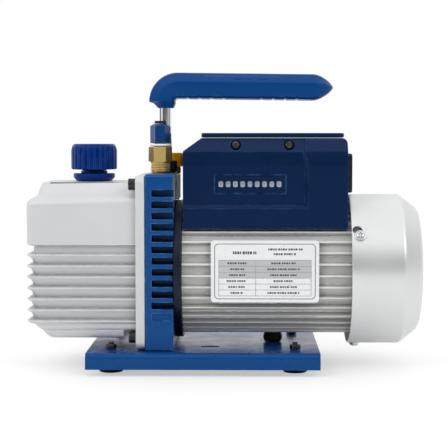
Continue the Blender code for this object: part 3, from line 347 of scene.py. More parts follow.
def tidy_mesh(item):
    """Weld the mesh and merge its flat faces, so that a bevel runs along true edges only."""
    bm = bmesh.new()
    bm.from_mesh(item.data)
    bmesh.ops.remove_doubles(bm, verts=bm.verts, dist=0.002 * MM)
    bmesh.ops.dissolve_degenerate(bm, edges=bm.edges, dist=0.002 * MM)
    bmesh.ops.dissolve_limit(bm, angle_limit=math.radians(0.8), verts=bm.verts, edges=bm.edges)
    bmesh.ops.recalc_face_normals(bm, faces=bm.faces)
    bm.to_mesh(item.data)
    bm.free()
    return item


def round_edges(item, width, segments=3, angle=28.0):
    soft = item.modifiers.new("edges", "BEVEL")
    soft.width = width * MM
    soft.segments = segments
    soft.limit_method = "ANGLE"
    soft.angle_limit = math.radians(angle)
    soft.miter_outer = "MITER_ARC"
    bake(item)
    return smooth(item)


def combine(target, others, operation):
    """Boolean target with others, apply it, and remove the others."""
    for other in others:
        step = target.modifiers.new("boolean", "BOOLEAN")
        step.operation = operation
        step.solver = "EXACT"
        step.object = other
    bake(target)
    for other in others:
        bpy.data.objects.remove(other, do_unlink=True)
    return target


def cut(target, *others):
    return combine(target, others, "DIFFERENCE")


def join(target, *others):
    return combine(target, others, "UNION")


def weigh_normals(item):
    """Let large faces set the shading, so that flats stay flat beside their rounded edges."""
    step = item.modifiers.new("flat_faces", "WEIGHTED_NORMAL")
    step.mode = "FACE_AREA"
    step.weight = 60
    step.keep_sharp = True


def stand_for(item, node, material=None):
    """Finish an item as the visible form of one CAD node, in the node's own slot unless told otherwise."""
    weigh_normals(item)
    item.data.materials.clear()
    item.data.materials.append(MATERIALS[material or SLOT_OF[node]])
    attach(item, BODY_OF[node])
    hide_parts(node)


def add_detail(item, node, material):
    """An extra piece, such as a print, that rides with a CAD node's body."""
    item.data.materials.clear()
    item.data.materials.append(MATERIALS[material])
    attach(item, BODY_OF[node])


def copy_node(node):
    """The CAD node's own shape as a new welded object."""
    item = bpy.data.objects.new(f"{node}_finished", frame["nodes"][node].data.copy())
    bpy.context.scene.collection.objects.link(item)
    return tidy_mesh(item)


def soften(node, width, material=None):
    """Let a CAD node keep its shape, with rounded edges."""
    stand_for(round_edges(copy_node(node), width, 2), node, material)


def box(name, x, y, z):
    bm = bmesh.new()
    size = Matrix.Diagonal((x[1] - x[0], y[1] - y[0], z[1] - z[0], 1.0))
    centre = Matrix.Translation((sum(x) / 2, sum(y) / 2, sum(z) / 2))
    bmesh.ops.create_cube(bm, size=1.0, matrix=centre @ size)
    return to_object(name, bm)


def rod(name, start, end, radius, segments=48, tip=None):
    start, end = Vector(start), Vector(end)
    run = end - start
    turn = run.to_track_quat("Z", "Y").to_matrix().to_4x4()
    bm = bmesh.new()
    place = Matrix.Translation((start + end) / 2) @ turn
    far = radius if tip is None else tip
    bmesh.ops.create_cone(
        bm, cap_ends=True, segments=segments, radius1=radius, radius2=far, depth=run.length, matrix=place
    )
    return to_object(name, bm)


def prism(name, outline, low, high, axis="Z"):
    """Extrude a closed outline; it is (x, y) for Z, (y, z) for X and (x, z) for Y."""
    place = {
        "X": lambda a, b: (low, a, b),
        "Y": lambda a, b: (a, low, b),
        "Z": lambda a, b: (a, b, low),
    }[axis]
    step = {"X": (high - low, 0, 0), "Y": (0, high - low, 0), "Z": (0, 0, high - low)}[axis]
    bm = bmesh.new()
    corners = [bm.verts.new(place(a, b)) for a, b in outline]
    rim = [bm.edges.new((corners[i - 1], corners[i])) for i in range(len(corners))]
    base = bmesh.ops.edgeloop_fill(bm, edges=rim)["faces"]
    grown = bmesh.ops.extrude_face_region(bm, geom=base, use_keep_orig=True)
    moved = [v for v in grown["geom"] if isinstance(v, bmesh.types.BMVert)]
    bmesh.ops.translate(bm, vec=step, verts=moved)
    return to_object(name, bm)


def loft(name, loops, closed=False):
    """Skin equal closed loops of points; closed joins the last loop to the first instead of capping."""
    bm = bmesh.new()
    rings = []
    for loop in loops:
        verts = [bm.verts.new(point) for point in loop]
        rings.append(verts)
    pairs = list(zip(rings, rings[1:]))
    if closed:
        pairs.append((rings[-1], rings[0]))
    for lower, upper in pairs:
        for i in range(len(lower)):
            bm.faces.new((lower[i - 1], lower[i], upper[i], upper[i - 1]))
    if not closed:
        for ring in (rings[0], rings[-1]):
            rim = [bm.edges.get((ring[i - 1], ring[i])) for i in range(len(ring))]
            bmesh.ops.edgeloop_fill(bm, edges=rim)
    return to_object(name, bm)


def lathe(name, profile, centre, axis="X", steps=96):
    """Spin a closed (radius, height) profile about an axis through centre."""
    mesh = bpy.data.meshes.new(name)
    area = sum(a[0] * b[1] - b[0] * a[1] for a, b in zip(profile, profile[1:] + profile[:1]))
    points = profile if area < 0 else profile[::-1]
    on_axis = points[0][0] == 0.0 and points[-1][0] == 0.0
    edges = [(i, i + 1) for i in range(len(points) - 1)]
    if not on_axis:
        edges.append((len(points) - 1, 0))
    mesh.from_pydata([(r * MM, 0.0, h * MM) for r, h in points], edges, [])
    item = bpy.data.objects.new(name, mesh)
    bpy.context.scene.collection.objects.link(item)
    spin = item.modifiers.new("turn", "SCREW")
    spin.steps = steps
    spin.render_steps = steps
    spin.use_merge_vertices = True
    spin.merge_threshold = 0.00001
    bake(item)
    turn = Matrix.Rotation(math.pi / 2, 4, "Y") if axis == "X" else Matrix.Identity(4)
    item.data.transform(Matrix.Translation(Vector(centre) * MM) @ turn)
    return item


def arc(centre, radius, start, end, steps):
    points = []
    for i in range(steps + 1):
        angle = math.radians(start + (end - start) * i / steps)
        points.append((centre[0] + radius * math.cos(angle), centre[1] + radius * math.sin(angle)))
    return points


def rounded_rect(a, b, radius, steps=8):
    points = arc((a[1] - radius, b[0] + radius), radius, -90, 0, steps)
    points += arc((a[1] - radius, b[1] - radius), radius, 0, 90, steps)
    points += arc((a[0] + radius, b[1] - radius), radius, 90, 180, steps)
    return points + arc((a[0] + radius, b[0] + radius), radius, 180, 270, steps)


def stand_turned(node, profile, x, y, steps):
    """Stand a piece for a node by spinning its profile about the upright axis through (x, y)."""
    stand_for(smooth(lathe(f"{node}_finished", profile, (x, y, 0), "Z", steps)), node)


def fluted_loop(centre, level, steps, outer, depth, groove):
    """A loop of points round a centre, cut in by depth wherever groove(angle) is one."""
    points = []
    for i in range(steps):
        angle = TAU * i / steps
        radius = outer - depth * groove(angle)
        points.append((centre[0] + radius * math.cos(angle), centre[1] + radius * math.sin(angle), level))
    return points


def thread(first, pitch, turns, crest, root):
    """The (radius, height) points of a thread's profile, from its first crest along its pitch."""
    points = []
    for turn in range(turns):
        level = first + turn * pitch
        points += [(crest, level), (root, level + pitch / 2)]
    return points


def round_motor(radius, degrees, x):
    """A point round the motor axis; the angle runs from the front (-Y) upwards."""
    angle = math.radians(degrees)
    return (x, -radius * math.cos(angle), AXIS_Z + radius * math.sin(angle))


# ---------- oil casing


def casing_levels():
    """(z, left x, half depth, corner radius) up the casing: sump, seven fins, plain band, stepped top."""
    levels = [(24.8, -128.0, 38.0, 4.0), (25.5, -129.6, 39.8, 4.4), (27.0, -131.5, 41.3, 4.8)]
    levels += [(30.6, -134.6, 42.4, 5.2), (31.2, -135.0, 42.2, 5.2), (31.9, -136.5, 43.2, 5.4)]
    levels += [(33.5, -138.4, 43.8, 5.4), (35.6, -139.7, 44.0, 5.4)]
    root_x, root_y, tip_x, tip_y = -140.0, 42.5, -144.9, 46.0
    for index in range(FINS):
        z = TOP_FIN_Z - (FINS - 1 - index) * FIN_PITCH
        if index > 0:
            levels.append((z - 6.6, root_x, root_y, 4.6))
        levels += [(z - 1.9, root_x - 2.4, root_y + 1.9, 4.8), (z - 0.8, tip_x + 0.4, tip_y - 0.3, 5.0)]
        levels += [(z - 0.2, tip_x, tip_y, 5.0), (z + 0.4, tip_x + 0.1, tip_y, 5.0)]
        levels += [(z + 0.8, tip_x + 0.6, tip_y - 0.5, 5.0), (z + 1.2, root_x - 0.4, root_y + 0.3, 4.6)]
    levels += [(92.5, root_x, root_y, 4.6), (93.2, root_x - 3.4, 45.0, 4.6), (93.8, -144.4, 45.8, 4.6)]
    levels += [(94.6, -144.6, 46.0, 4.6), (121.8, -144.7, 46.0, 4.6), (123.6, -144.5, 45.6, 4.8)]
    levels += [(125.2, -143.9, 44.6, 5.0), (126.6, -142.4, 43.2, 5.5), (127.6, -140.6, 41.4, 6.0)]
    levels += [(128.6, -138.9, 39.4, 6.5), (129.4, -138.0, 38.2, 6.5), (130.3, -137.6, 37.4, 6.5)]
    levels += [(132.8, -137.0, 36.0, 6.5), (136.6, -135.8, 32.8, 6.5), (137.8, -135.2, 32.0, 6.2)]
    levels += [(138.5, -134.2, 31.0, 5.8)]
    return levels


def casing_loop(z, left, half_y, radius):
    """One level of the casing; between the plain band and the top it rises towards the flange."""
    start, end = CASING[0][0], CASING_LOFT_END
    points = [(end, -half_y), (end, half_y)]
    points += arc((left + radius, half_y - radius), radius, 90, 180, 12)
    points += arc((left + radius, -half_y + radius), radius, 180, 270, 12)
    lift = 2.2 * max(0.0, min((z - 94.0) / 28.0, (138.0 - z) / 9.0, 1.0))
    return [(x, y, z + lift * (x - start) / (end - start)) for x, y in points]


def build_casing():
    casing = loft("oil_casing_finished", [casing_loop(*level) for level in casing_levels()])
    (left, right), flange_y, _ = CASING
    flange_z, flange_left = (17.3, 143.8), right - 6.6
    flange = prism("flange", rounded_rect(flange_y, flange_z, 6.0), flange_left, right, "X")
    round_edges(flange, 0.7, 3)
    bolts = [node for node in BODY_OF if node.startswith("casing_bolt")]
    glass_z, drain_z = middle("sight_glass")[2], middle("drain_plug")[2]
    seats = []
    for node in bolts:
        _, y, z = middle(node)
        seats.append(rod("bolt_seat", (right - 16.0, y, z), (flange_left, y, z), 5.4))
    for z, radius in ((glass_z, 15.5), (drain_z, 9.5)):
        seats.append(rod("fin_cut", (left - 5, 0, z), (left + 3.2, 0, z), radius))
    cut(casing, *seats)
    join(casing, flange)
    for z, radius in ((glass_z, 14.6), (drain_z, 8.5)):
        boss = round_edges(rod("boss", (left + 9.0, 0, z), (left + 2.6, 0, z), radius), 0.5, 2)
        join(casing, boss)
    pocket = rounded_rect((-47.5, 47.5), (19.8, 141.3), 4.0)
    cut(casing, prism("gasket_pocket", pocket, right - 0.8, right + 1.0, "X"))
    holes = [rod("glass_hole", (left - 5, 0, glass_z), (left + 15, 0, glass_z), 9.3)]
    holes.append(rod("drain_hole", (left - 5, 0, drain_z), (left + 15, 0, drain_z), 4.3))
    filler = middle("filler_seat")
    holes.append(rod("filler_hole", (filler[0], 0, 110), (filler[0], 0, 145), 9.3))
    for node in bolts:
        _, y, z = middle(node)
        holes.append(rod("bolt_hole", (right - 10, y, z), (right + 8, y, z), 2.8, 24))
    holes.append(prism("chamber", rounded_rect((left + 8, right + 20), (-38.0, 38.0), 10.0), 36.0, 120.0))
    cut(casing, *holes)
    smooth(tidy_mesh(casing), 38.0)
    stand_for(casing, "oil_casing")


# ---------- motor housing and covers


def build_housing():
    """The ribbed extrusion: each rib has a rounded tip and a filleted root."""
    count, root, tip = 36, 44.4, 48.6
    flank = [(root, 1.9), (root + 0.5, 1.25), (tip - 0.6, 0.85), (tip - 0.15, 0.6), (tip, 0.2)]
    points = []
    for i in range(count):
        centre = -1.5 + 360.0 * i / count
        points += [(radius, centre - math.degrees(half / radius)) for radius, half in flank]
        points += [(radius, centre + math.degrees(half / radius)) for radius, half in reversed(flank)]
    outline = [round_motor(radius, degrees, 0)[1:] for radius, degrees in points]
    (left, right), _, _ = HOUSING
    housing = prism("motor_housing_finished", outline, left, right, "X")
    plate = span("rating_plate")
    pad_x, pad_z = (plate[0][0] + 1, plate[0][1] - 1), (plate[2][0] + 1, plate[2][1] - 1)
    join(housing, box("pad", pad_x, (-48.7, -42.0), pad_z))
    cut(housing, rod("bore", (left - 5, 0, AXIS_Z), (right + 5, 0, AXIS_Z), 40.0, 96))
    smooth(tidy_mesh(housing), 25.0)
    stand_for(housing, "motor_housing")


def cover_profile():
    """Fan cover half section as (radius, x): rolled rim, straight side, sloping shoulder, shallow dome."""
    (left, right), (_, radius), _ = span("fan_cover")
    side_end, slope_x, slope_r, face_r = 129.8, 142.0, 46.6, 41.0
    outer = [(radius - 0.25, left), (radius, left + 0.3), (radius, side_end - 1.5), (radius - 0.25, side_end)]
    outer += [(radius - 1.0, side_end + 1.2), (slope_r + 1.0, slope_x - 1.1), (slope_r - 0.3, slope_x + 0.25)]
    outer += [(slope_r - 2.0, slope_x + 1.2), (face_r, right - 1.1)]
    for r in (34.0, 26.0, 18.0, 9.0):
        outer.append((r, right - 0.3 - 0.8 * (r / face_r) ** 2))
    outer.append((0.0, right - 0.3))
    inner = [(0.0, right - 1.3)]
    for r in (9.0, 18.0, 26.0, 34.0):
        inner.append((r, right - 1.3 - 0.8 * (r / face_r) ** 2))
    inner += [(face_r - 0.3, right - 2.1), (slope_r - 2.6, slope_x + 0.3), (slope_r - 0.4, slope_x - 1.1)]
    inner += [(radius - 1.9, side_end + 0.5), (radius - 1.0, side_end - 1.6), (radius - 1.0, left)]
    return outer + inner


def build_fan_cover():
    cover = lathe("fan_cover_finished", cover_profile(), (0, 0, AXIS_Z), "X", 128)
    cutters = []
    for index in range(12):
        turn = Matrix.Translation((0, 0, AXIS_Z)) @ Matrix.Rotation(TAU * index / 12, 4, "X")
        outline = arc((15.0, 0.0), 2.3, 90, 270, 8) + arc((36.0, 0.0), 2.3, -90, 90, 8)
        slot = prism("vent", outline, 138.0, 150.0, "X")
        move = Matrix.Scale(MM, 4) @ turn @ Matrix.Scale(1 / MM, 4)
        slot.data.transform(move)
        cutters.append(slot)
    screw_x = middle("fan_cover_screw_1")[0]
    for degrees in COVER_SCREW_ANGLES:
        ends = round_motor(50, degrees, screw_x), round_motor(60, degrees, screw_x)
        cutters.append(rod("hole", *ends, 2.3, 32))
        wide = degrees + 4.7
        ends = round_motor(50, wide, screw_x - 1.8), round_motor(60, wide, screw_x - 1.8)
        cutters.append(rod("key_hole", *ends, 3.6, 40))
    cut(cover, *cutters)
    smooth(tidy_mesh(cover), 30.0)
    stand_for(cover, "fan_cover")


def build_cover_screws():
    """Pan-head screws on a washer, with a cross recess."""
    seat_radius = 56.6
    for number, degrees in enumerate(COVER_SCREW_ANGLES, 1):
        node = f"fan_cover_screw_{number}"
        x = middle(node)[0]
        profile = [(0.0, -11.0), (1.3, -11.0), (1.3, 0.0), (4.0, 0.0), (4.0, 0.7), (3.3, 0.8)]
        profile += [(3.3, 1.2), (3.1, 1.9), (2.4, 2.4), (1.2, 2.58), (0.0, 2.6)]
        screw = lathe(f"{node}_finished", profile, (0, 0, 0), "Z", 40)
        for across in ((1.9, 0.42), (0.42, 1.9)):
            cut(screw, box("cross", (-across[0], across[0]), (-across[1], across[1]), (1.2, 3.0)))
        out = Vector(round_motor(1.0, degrees, 0)) - Vector((0, 0, AXIS_Z))
        turn = out.to_track_quat("Z", "X").to_matrix().to_4x4()
        place = Matrix.Translation(Vector(round_motor(seat_radius, degrees, x)) * MM)
        screw.data.transform(place @ turn)
        smooth(screw)
        stand_for(screw, node)


# ---------- terminal box


def box_section():
    """Half of the box's end outline, then its mirror: upright sides, a leaning band, a sloping crown."""
    _, (_, y), (low, high) = span("terminal_box")
    top_y, lean = 30.0, 1.4
    points = [(-y, low), (-y, 151.0), (-y + 0.15, 153.0), (-y + lean, 160.6), (-y + lean + 0.6, 161.8)]
    points += [(-top_y - 0.6, high - 0.5), (-top_y + 0.6, high)]
    return points + [(-a, b) for a, b in reversed(points)]


def build_base():
    """The folded base plate, with the rounded bends along its front and rear."""
    _, (_, high_y), (_, top) = span("base_plate")
    item = copy_node("base_plate")
    bends = []
    for side in (-1, 1):
        edge, radius = side * high_y, 4.0
        outline = [(edge + side, top + 1), (edge + side, top - radius)]
        for degrees in range(0, 91, 15):
            angle = math.radians(degrees)
            y = edge - side * radius * (1 - math.cos(angle))
            outline.append((y, top - radius * (1 - math.sin(angle))))
        outline.append((edge - side * radius, top + 1))
        bends.append(prism("bend", outline[::side], -150, 150, "X"))
    cut(item, *bends)
    stand_for(round_edges(tidy_mesh(item), 0.3, 2), "base_plate")


def build_terminal_box():
    (left, right), (low_y, _), (_, high) = span("terminal_box")
    shell = prism("terminal_box_finished", box_section(), left, right, "X")
    face, panel_low, column = low_y + 2.5, 122.1, 57.6
    lower = [(face - 8, panel_low - 8), (face, panel_low), (face, 151.0), (face + 0.15, 153.0)]
    lower += [(face + 1.4, 161.2), (face - 8, 161.2)]
    panel = prism("panel", lower, left - 1, column, "X")
    for vert in panel.data.vertices:
        if vert.co.x > 0:
            vert.co.x += face * MM - vert.co.y
    upper = [(face - 8, 161.0), (face + 1.4, 161.0), (face + 2.0, 161.8), (-30.6 + 2.5, high - 0.5)]
    upper += [(-27.0, high + 0.2), (-27.0, high + 5), (face - 8, high + 5)]
    crown = prism("panel_crown", upper, left - 1, column + 1.0, "X")
    slope = [(left - 1, 160.5), (left - 1, high + 2), (left + 15.0, high + 2), (left + 13.5, high)]
    slope += [(left + 12.9, high - 0.3), (left + 0.5, 161.7), (left, 161.0)]
    corner = [(right + 1, high - 4.0), (right + 1, high + 1), (right - 4.0, high + 1)]
    corner += arc((right - 4.0, high - 4.0), 4.0, 90, 0, 6)
    cuts = [panel, crown, prism("slope", slope, -50, 50, "Y"), prism("corner", corner, -50, 50, "Y")]
    cuts.append(box("badge", (-7.7, 43.5), (low_y - 5, face + 0.8), (131.0, 144.0)))
    cuts.append(box("cavity", (left + 6, right - 3), (-35, 35), (126.0, 158.0)))
    cuts.append(box("mouth", (-12.0, 82.0), (-25, 25), (150.0, 180.0)))
    cuts.append(rod("saddle", (left - 20, 0, AXIS_Z), (right + 20, 0, AXIS_Z), 49.2, 96))
    cuts.append(box("wire_way", (10, 40), (-8, 8), (100, 130)))
    inlet = span("power_inlet")
    cuts.append(box("inlet_window", (right - 9, right + 9), (-25, 25), (inlet[2][0] + 2, inlet[2][1] - 4)))
    for number in (1, 2):
        x, _, z = middle(f"box_screw_{number}")
        cuts.append(rod("well", (x, -45, z), (x, -26.9, z), 4.1))
        cuts.append(rod("well_hole", (x, -30, z), (x, -20, z), 1.8, 24))
    cut(shell, *cuts)
    tidy_mesh(shell)
    round_edges(shell, 0.45, 2, 24.0)
    stand_for(shell, "terminal_box")
    rim = ring_frame("badge_rim", (-8.6, 44.4), (130.1, 144.9), 1.0, 0.55, face, 0.3)
    add_detail(round_edges(rim, 0.12, 2), "terminal_box", "navy_plastic")
    marks = []
    for index in range(9):
        x = -3.4 + 5.3 * index
        outline = rounded_rect((x - 1.7, x + 1.7), (135.4, 139.6), 1.2)
        marks.append(prism("mark", outline, face + 0.3, face + 0.8, "Y"))
    add_detail(round_edges(merge("badge_marks", marks), 0.12, 2), "terminal_box", "badge_silver")


def build_lid():
    x, y, z = span("terminal_box_lid")
    lid = prism("terminal_box_lid_finished", rounded_rect(x, y, 4.0, 8), z[0], z[1])
    round_edges(lid, 1.1, 4)
    stand_for(lid, "terminal_box_lid")


# ---------- rating plate


def thin_box(name, x, z, front, depth=PRINT_DEPTH):
    return box(name, x, (front - depth, front), z)


def merge(name, items):
    """Put several separate solids into one object."""
    bm = bmesh.new()
    for item in items:
        bm.from_mesh(item.data)
        bpy.data.objects.remove(item, do_unlink=True)
    return to_object(name, bm, in_mm=False)


def ring_frame(name, x, z, radius, width, front, depth=PRINT_DEPTH):
    """A rounded rectangular frame of the given line width, facing the front."""
    outer = prism(name, rounded_rect(x, z, radius), front - depth, front, "Y")
    inside = (x[0] + width, x[1] - width), (z[0] + width, z[1] - width)
    inner = prism("inside", rounded_rect(*inside, radius - width), front - 5, front + 5, "Y")
    return cut(outer, inner)


def build_rating_plate():
    """A plain plate with a printed border, a blank ruled table and dashes in place of words."""
    x, y, z = span("rating_plate")
    plate = prism("rating_plate_finished", rounded_rect(x, z, 2.5), y[0] + 0.12, y[1], "Y")
    round_edges(plate, 0.15, 2)
    stand_for(plate, "rating_plate", "plate_face")
    front = y[0] + 0.12
    border = ring_frame("plate_border", (x[0] + 2.6, x[1] - 2.6), (z[0] + 2.4, z[1] - 2.4), 3.0, 0.45, front)
    table_x, table_z = (x[0] + 5.8, x[1] - 5.8), (z[0] + 4.8, z[0] + 30.6)
    rows, split = 6, table_x[0] + 0.4 * (table_x[1] - table_x[0])
    pitch = (table_z[1] - table_z[0]) / rows
    line = 0.22
    ink = []
    for row in range(rows + 1):
        level = table_z[0] + row * pitch
        ink.append(thin_box("rule", table_x, (level - line / 2, level + line / 2), front))
    column_depth = PRINT_DEPTH + 0.02
    for column in (table_x[0], split, table_x[1]):
        ink.append(thin_box("rule", (column - line / 2, column + line / 2), table_z, front, column_depth))
    for row in range(rows):
        centre_z = table_z[0] + (row + 0.5) * pitch
        for side, (low, high) in enumerate(((table_x[0], split), (split, table_x[1]))):
            width = (high - low) * (0.36 + 0.22 * math.sin(2.3 * row + 1.7 * side) ** 2)
            ink += dashes((low + high) / 2, width, centre_z, 1.3, front)
    head_z = (table_z[1] + z[1] - 2.4) / 2
    ink += dashes(x[0] + 54.0, 25.0, head_z + 1.9, 1.4, front)
    ink += dashes(x[0] + 54.0, 17.0, head_z - 1.5, 1.4, front)
    ink += dashes(x[0] + 24.5, 17.0, head_z - 0.6, 2.0, front)
    add_detail(merge("plate_ink_lines", [border] + ink), "rating_plate", "plate_ink")
    shades = []
    for row in (3, 4, 5):
        level = table_z[0] + row * pitch
        band = (level + line / 2 + 0.05, level + pitch - line / 2 - 0.05)
        for low, high in ((table_x[0], split), (split, table_x[1])):
            shades.append(thin_box("shade", (low + line, high - line), band, front, 0.03))
    add_detail(merge("plate_grey_rows", shades), "rating_plate", "plate_grey")


def dashes(centre_x, width, z, height, front):
    """A broken line of short bars, standing for a line of print."""
    pieces, x, index = [], centre_x - width / 2, 0
    while x < centre_x + width / 2 - 0.8:
        long = 0.9 + 0.7 * math.sin(1.9 * index + z) ** 2
        end = min(x + long, centre_x + width / 2)
        pieces.append(thin_box("dash", (x, end), (z - height / 2, z + height / 2), front, 0.05))
        x, index = end + (0.45 if index % 4 != 3 else 1.0), index + 1
    return pieces


# ---------- handle, caps and fittings


def grip_loop(centre, normal, tall, wide, low_lift=0.0):
    """Section of the grip: flat top, sloping shoulders to a ridge, rounded sides and underside."""
    shape = [(0.0, 1.0), (0.42, 0.985), (0.58, 0.93), (0.97, 0.34), (1.0, 0.24), (1.0, 0.0), (0.97, -0.5)]
    shape += [(0.92, -0.78), (0.78, -0.95), (0.5, -1.0), (0.0, -1.0)]
    ring = shape + [(-w, h) for w, h in reversed(shape[1:-1])]
    points = []
    for w, h in ring:
        drop = low_lift if h < -0.7 else 0.0
        point = Vector(centre) + Vector(normal) * (h * tall + drop) + Vector((0, w * wide, 0))
        points.append(tuple(point))
    return points


def build_grip():
    """A moulded grip: pointed nose, notched underside, and a bend down to a chamfered socket."""
    (left, right), (low_y, high_y), (_, high_z) = span("handle_grip")
    y, wide, half = (low_y + high_y) / 2, (high_y - low_y) / 2, GRIP_HALF_HEIGHT
    slope = math.tan(math.radians(GRIP_SLOPE))
    top = high_z - half
    loops = []
    nose = [(0.0, 0.05, 0.12), (1.0, 0.2, 0.34), (3.0, 0.42, 0.56), (5.6, 0.62, 0.74), (9.0, 0.83, 0.88)]
    nose += [(12.0, 0.95, 0.95), (15.0, 1.0, 0.98), (19.0, 1.0, 1.0)]
    for back, tall, broad in nose:
        x = right - back
        loops.append(grip_loop((x, y, top - (x - left) * slope), (0, 0, 1), half * tall, wide * broad))
    notches = [53.0, 44.3, 35.5, 26.5, -2.0, -11.0, -20.0, -29.0]
    bend_x, bend_r, steps = -36.4, 12.0, 16
    x = right - 21.0
    while x > bend_x + 0.6:
        near = min(abs(x - notch) for notch in notches)
        lift = 0.7 * max(0.0, 1.0 - near / 1.1)
        loops.append(grip_loop((x, y, top - (x - left) * slope), (0, 0, 1), half, wide, lift))
        x -= 1.0
    bend_z = top - (bend_x - left) * slope - bend_r
    for i in range(steps + 1):
        angle = math.radians(90.0 * i / steps)
        centre = (bend_x - bend_r * math.sin(angle), y, bend_z + bend_r * math.cos(angle))
        normal = (-math.sin(angle), 0, math.cos(angle))
        loops.append(grip_loop(centre, normal, half, wide * (1.0 - 0.25 * i / steps)))
    socket = ((-46.6, 197.2, 8.3, 9.0), (-45.75, 194.3, 6.35, 7.4), (-45.7, 193.7, 5.9, 6.9))
    for centre_x, z, tall, broad in socket:
        loops.append(grip_loop((centre_x, y, z), (-1, 0, 0), tall, broad))
    grip = loft("handle_grip_finished", loops)
    rod_x, rod_y, _ = middle("handle_rod")
    cut(grip, rod("rod_bore", (rod_x, rod_y, 180), (rod_x, rod_y, 206.0), 4.95))
    smooth(tidy_mesh(grip), 26.0)
    stand_for(grip, "handle_grip")
    build_grip_inlay(y, wide, top, slope, left)


def build_grip_inlay(y, wide, top, slope, left):
    """The raised oblong on the grip's front shoulder."""
    half = GRIP_HALF_HEIGHT
    tilt = math.atan2((0.93 - 0.34) * half, (0.97 - 0.58) * wide)
    outline = rounded_rect((-17.0, 41.0), (-1.9, 1.9), 1.8, 6)
    pad = prism("grip_inlay", outline, -0.6, 0.35)
    round_edges(pad, 0.25, 2)
    middle_y = y - 0.775 * wide
    middle_z = top + 0.635 * half - (12.0 - left) * slope
    turn = Matrix.Rotation(tilt, 4, "X")
    lean = Matrix.Rotation(math.radians(GRIP_SLOPE), 4, "Y")
    place = Matrix.Translation(Vector((0.0, middle_y, middle_z)) * MM)
    pad.data.transform(place @ lean @ turn)
    add_detail(pad, "handle_grip", "grip_plastic")


def build_filler_cap():
    x, _, z = span("filler_cap")
    centre = middle("filler_cap")[:2]
    crest, base, top = (x[1] - x[0]) / 2, 147.5, z[1]
    levels = [(base, 0.94, 0.6), (base + 0.5, 0.985, 1.0), (base + 1.0, 1.0, 1.0), (top - 5.2, 1.0, 1.0)]
    levels += [(top - 3.6, 0.985, 0.8), (top - 2.2, 0.96, 0.4), (top - 0.9, 0.915, 0.1)]
    levels += [(top - 0.25, 0.875, 0.0), (top, 0.83, 0.0), (top - 0.2, 0.77, 0.0), (top - 1.2, 0.73, 0.0)]
    levels += [(top - 1.5, 0.68, 0.0)]
    flutes, depth, steps = 24, 1.1, 192

    def groove(angle):
        return max(0.0, math.cos(flutes * angle)) ** 0.8

    loops = []
    for level, size, cutting in levels:
        loops.append(fluted_loop(centre, level, steps, crest * size, depth * cutting, groove))
    cap = loft("filler_cap_finished", loops)
    join(cap, rod("thread", (*centre, z[0]), (*centre, base + 1.5), 5.7))
    smooth(tidy_mesh(cap), 40.0)
    stand_for(cap, "filler_cap")


def hex_body(name, centre, flats, low, high, chamfer_high=True):
    """A hexagon bar with its corners turned back at the lower end, and at the upper one if asked."""
    corner = flats / math.sqrt(3.0)
    body = prism(name, arc(centre, corner, 0, 300, 5), low, high)
    slope = (corner - flats / 2) * 0.75
    ends = []
    near, far = flats / 2 - 0.2, corner + 1
    if chamfer_high:
        ends.append([(near, high + 0.01), (far, high - slope), (far, high + 5), (near, high + 5)])
    ends.append([(near, low - 0.01), (far, low + slope), (far, low - 5), (near, low - 5)])
    for profile in ends:
        cut(body, lathe("turned_corner", profile, (*centre, 0), "Z", 64))
    return body


def build_intake():
    z = span("intake_fitting")[2]
    centre = middle("intake_fitting")[:2]
    fitting = hex_body("intake_fitting_finished", centre, 15.2, 153.3, 164.8)
    round_edges(fitting, 0.25, 2)
    neck = [(0.0, 155.0), (7.4, 155.0), (7.4, 153.0), (7.0, 152.6)]
    neck += thread(152.0, -1.2, 5, 7.4, 6.9)
    neck += [(7.4, 146.2), (6.0, 145.9), (6.0, z[0]), (0.0, z[0])]
    join(fitting, lathe("neck", neck, (*centre, 0), "Z", 48))
    flare = [(0.0, 164.0), (4.4, 164.0)]
    flare += thread(165.2, 1.1, 9, 4.9, 4.4)
    flare += [(4.8, 175.6), (3.4, z[1]), (0.0, z[1])]
    join(fitting, lathe("flare", flare, (*centre, 0), "Z", 48))
    cut(fitting, rod("bore", (*centre, 130), (*centre, 180), 2.8))
    smooth(tidy_mesh(fitting), 28.0)
    stand_for(fitting, "intake_fitting")


def build_flare_cap():
    z = span("flare_cap")[2]
    centre = middle("intake_fitting")[:2]
    cap = hex_body("flare_cap_finished", centre, 13.2, z[0], z[1], chamfer_high=False)
    crown = [(20, z[1] - 2.4), (20, z[1] + 2), (4.6, z[1] + 2), (4.6, z[1] - 0.05), (5.6, z[1] - 0.4)]
    crown += [(7.0, z[1] - 1.5), (7.8, z[1] - 2.4)]
    cut(cap, lathe("crown", crown, (*centre, 0), "Z", 64))
    cut(cap, rod("cap_bore", (*centre, 160), (*centre, 178.2), 5.3))
    tidy_mesh(cap)
    round_edges(cap, 0.3, 2)
    stand_for(cap, "flare_cap", "flare_blue")


def build_knob():
    low, top = span("gas_ballast_knob")[2]
    centre = middle("gas_ballast_knob")[:2]
    crest, base, flutes, depth, steps = 3.32, 145.7, 14, 0.18, 84

    def groove(angle):
        return 0.5 + 0.5 * math.cos(flutes * angle)

    loops = []
    for level, size in ((base, 0.94), (base + 0.4, 1.0), (top - 0.9, 1.0), (top - 0.3, 0.96), (top, 0.86)):
        loops.append(fluted_loop(centre, level, steps, crest * size, depth, groove))
    knob = loft("gas_ballast_knob_finished", loops)
    join(knob, rod("stem", (*centre, low), (*centre, base + 1), 1.8, 32))
    groove_x, groove_y = (centre[0] - 0.3, centre[0] + 0.3), (centre[1] - 4, centre[1])
    cut(knob, box("pointer", groove_x, groove_y, (top - 0.4, top + 1)))
    smooth(tidy_mesh(knob), 40.0)
    stand_for(knob, "gas_ballast_knob")


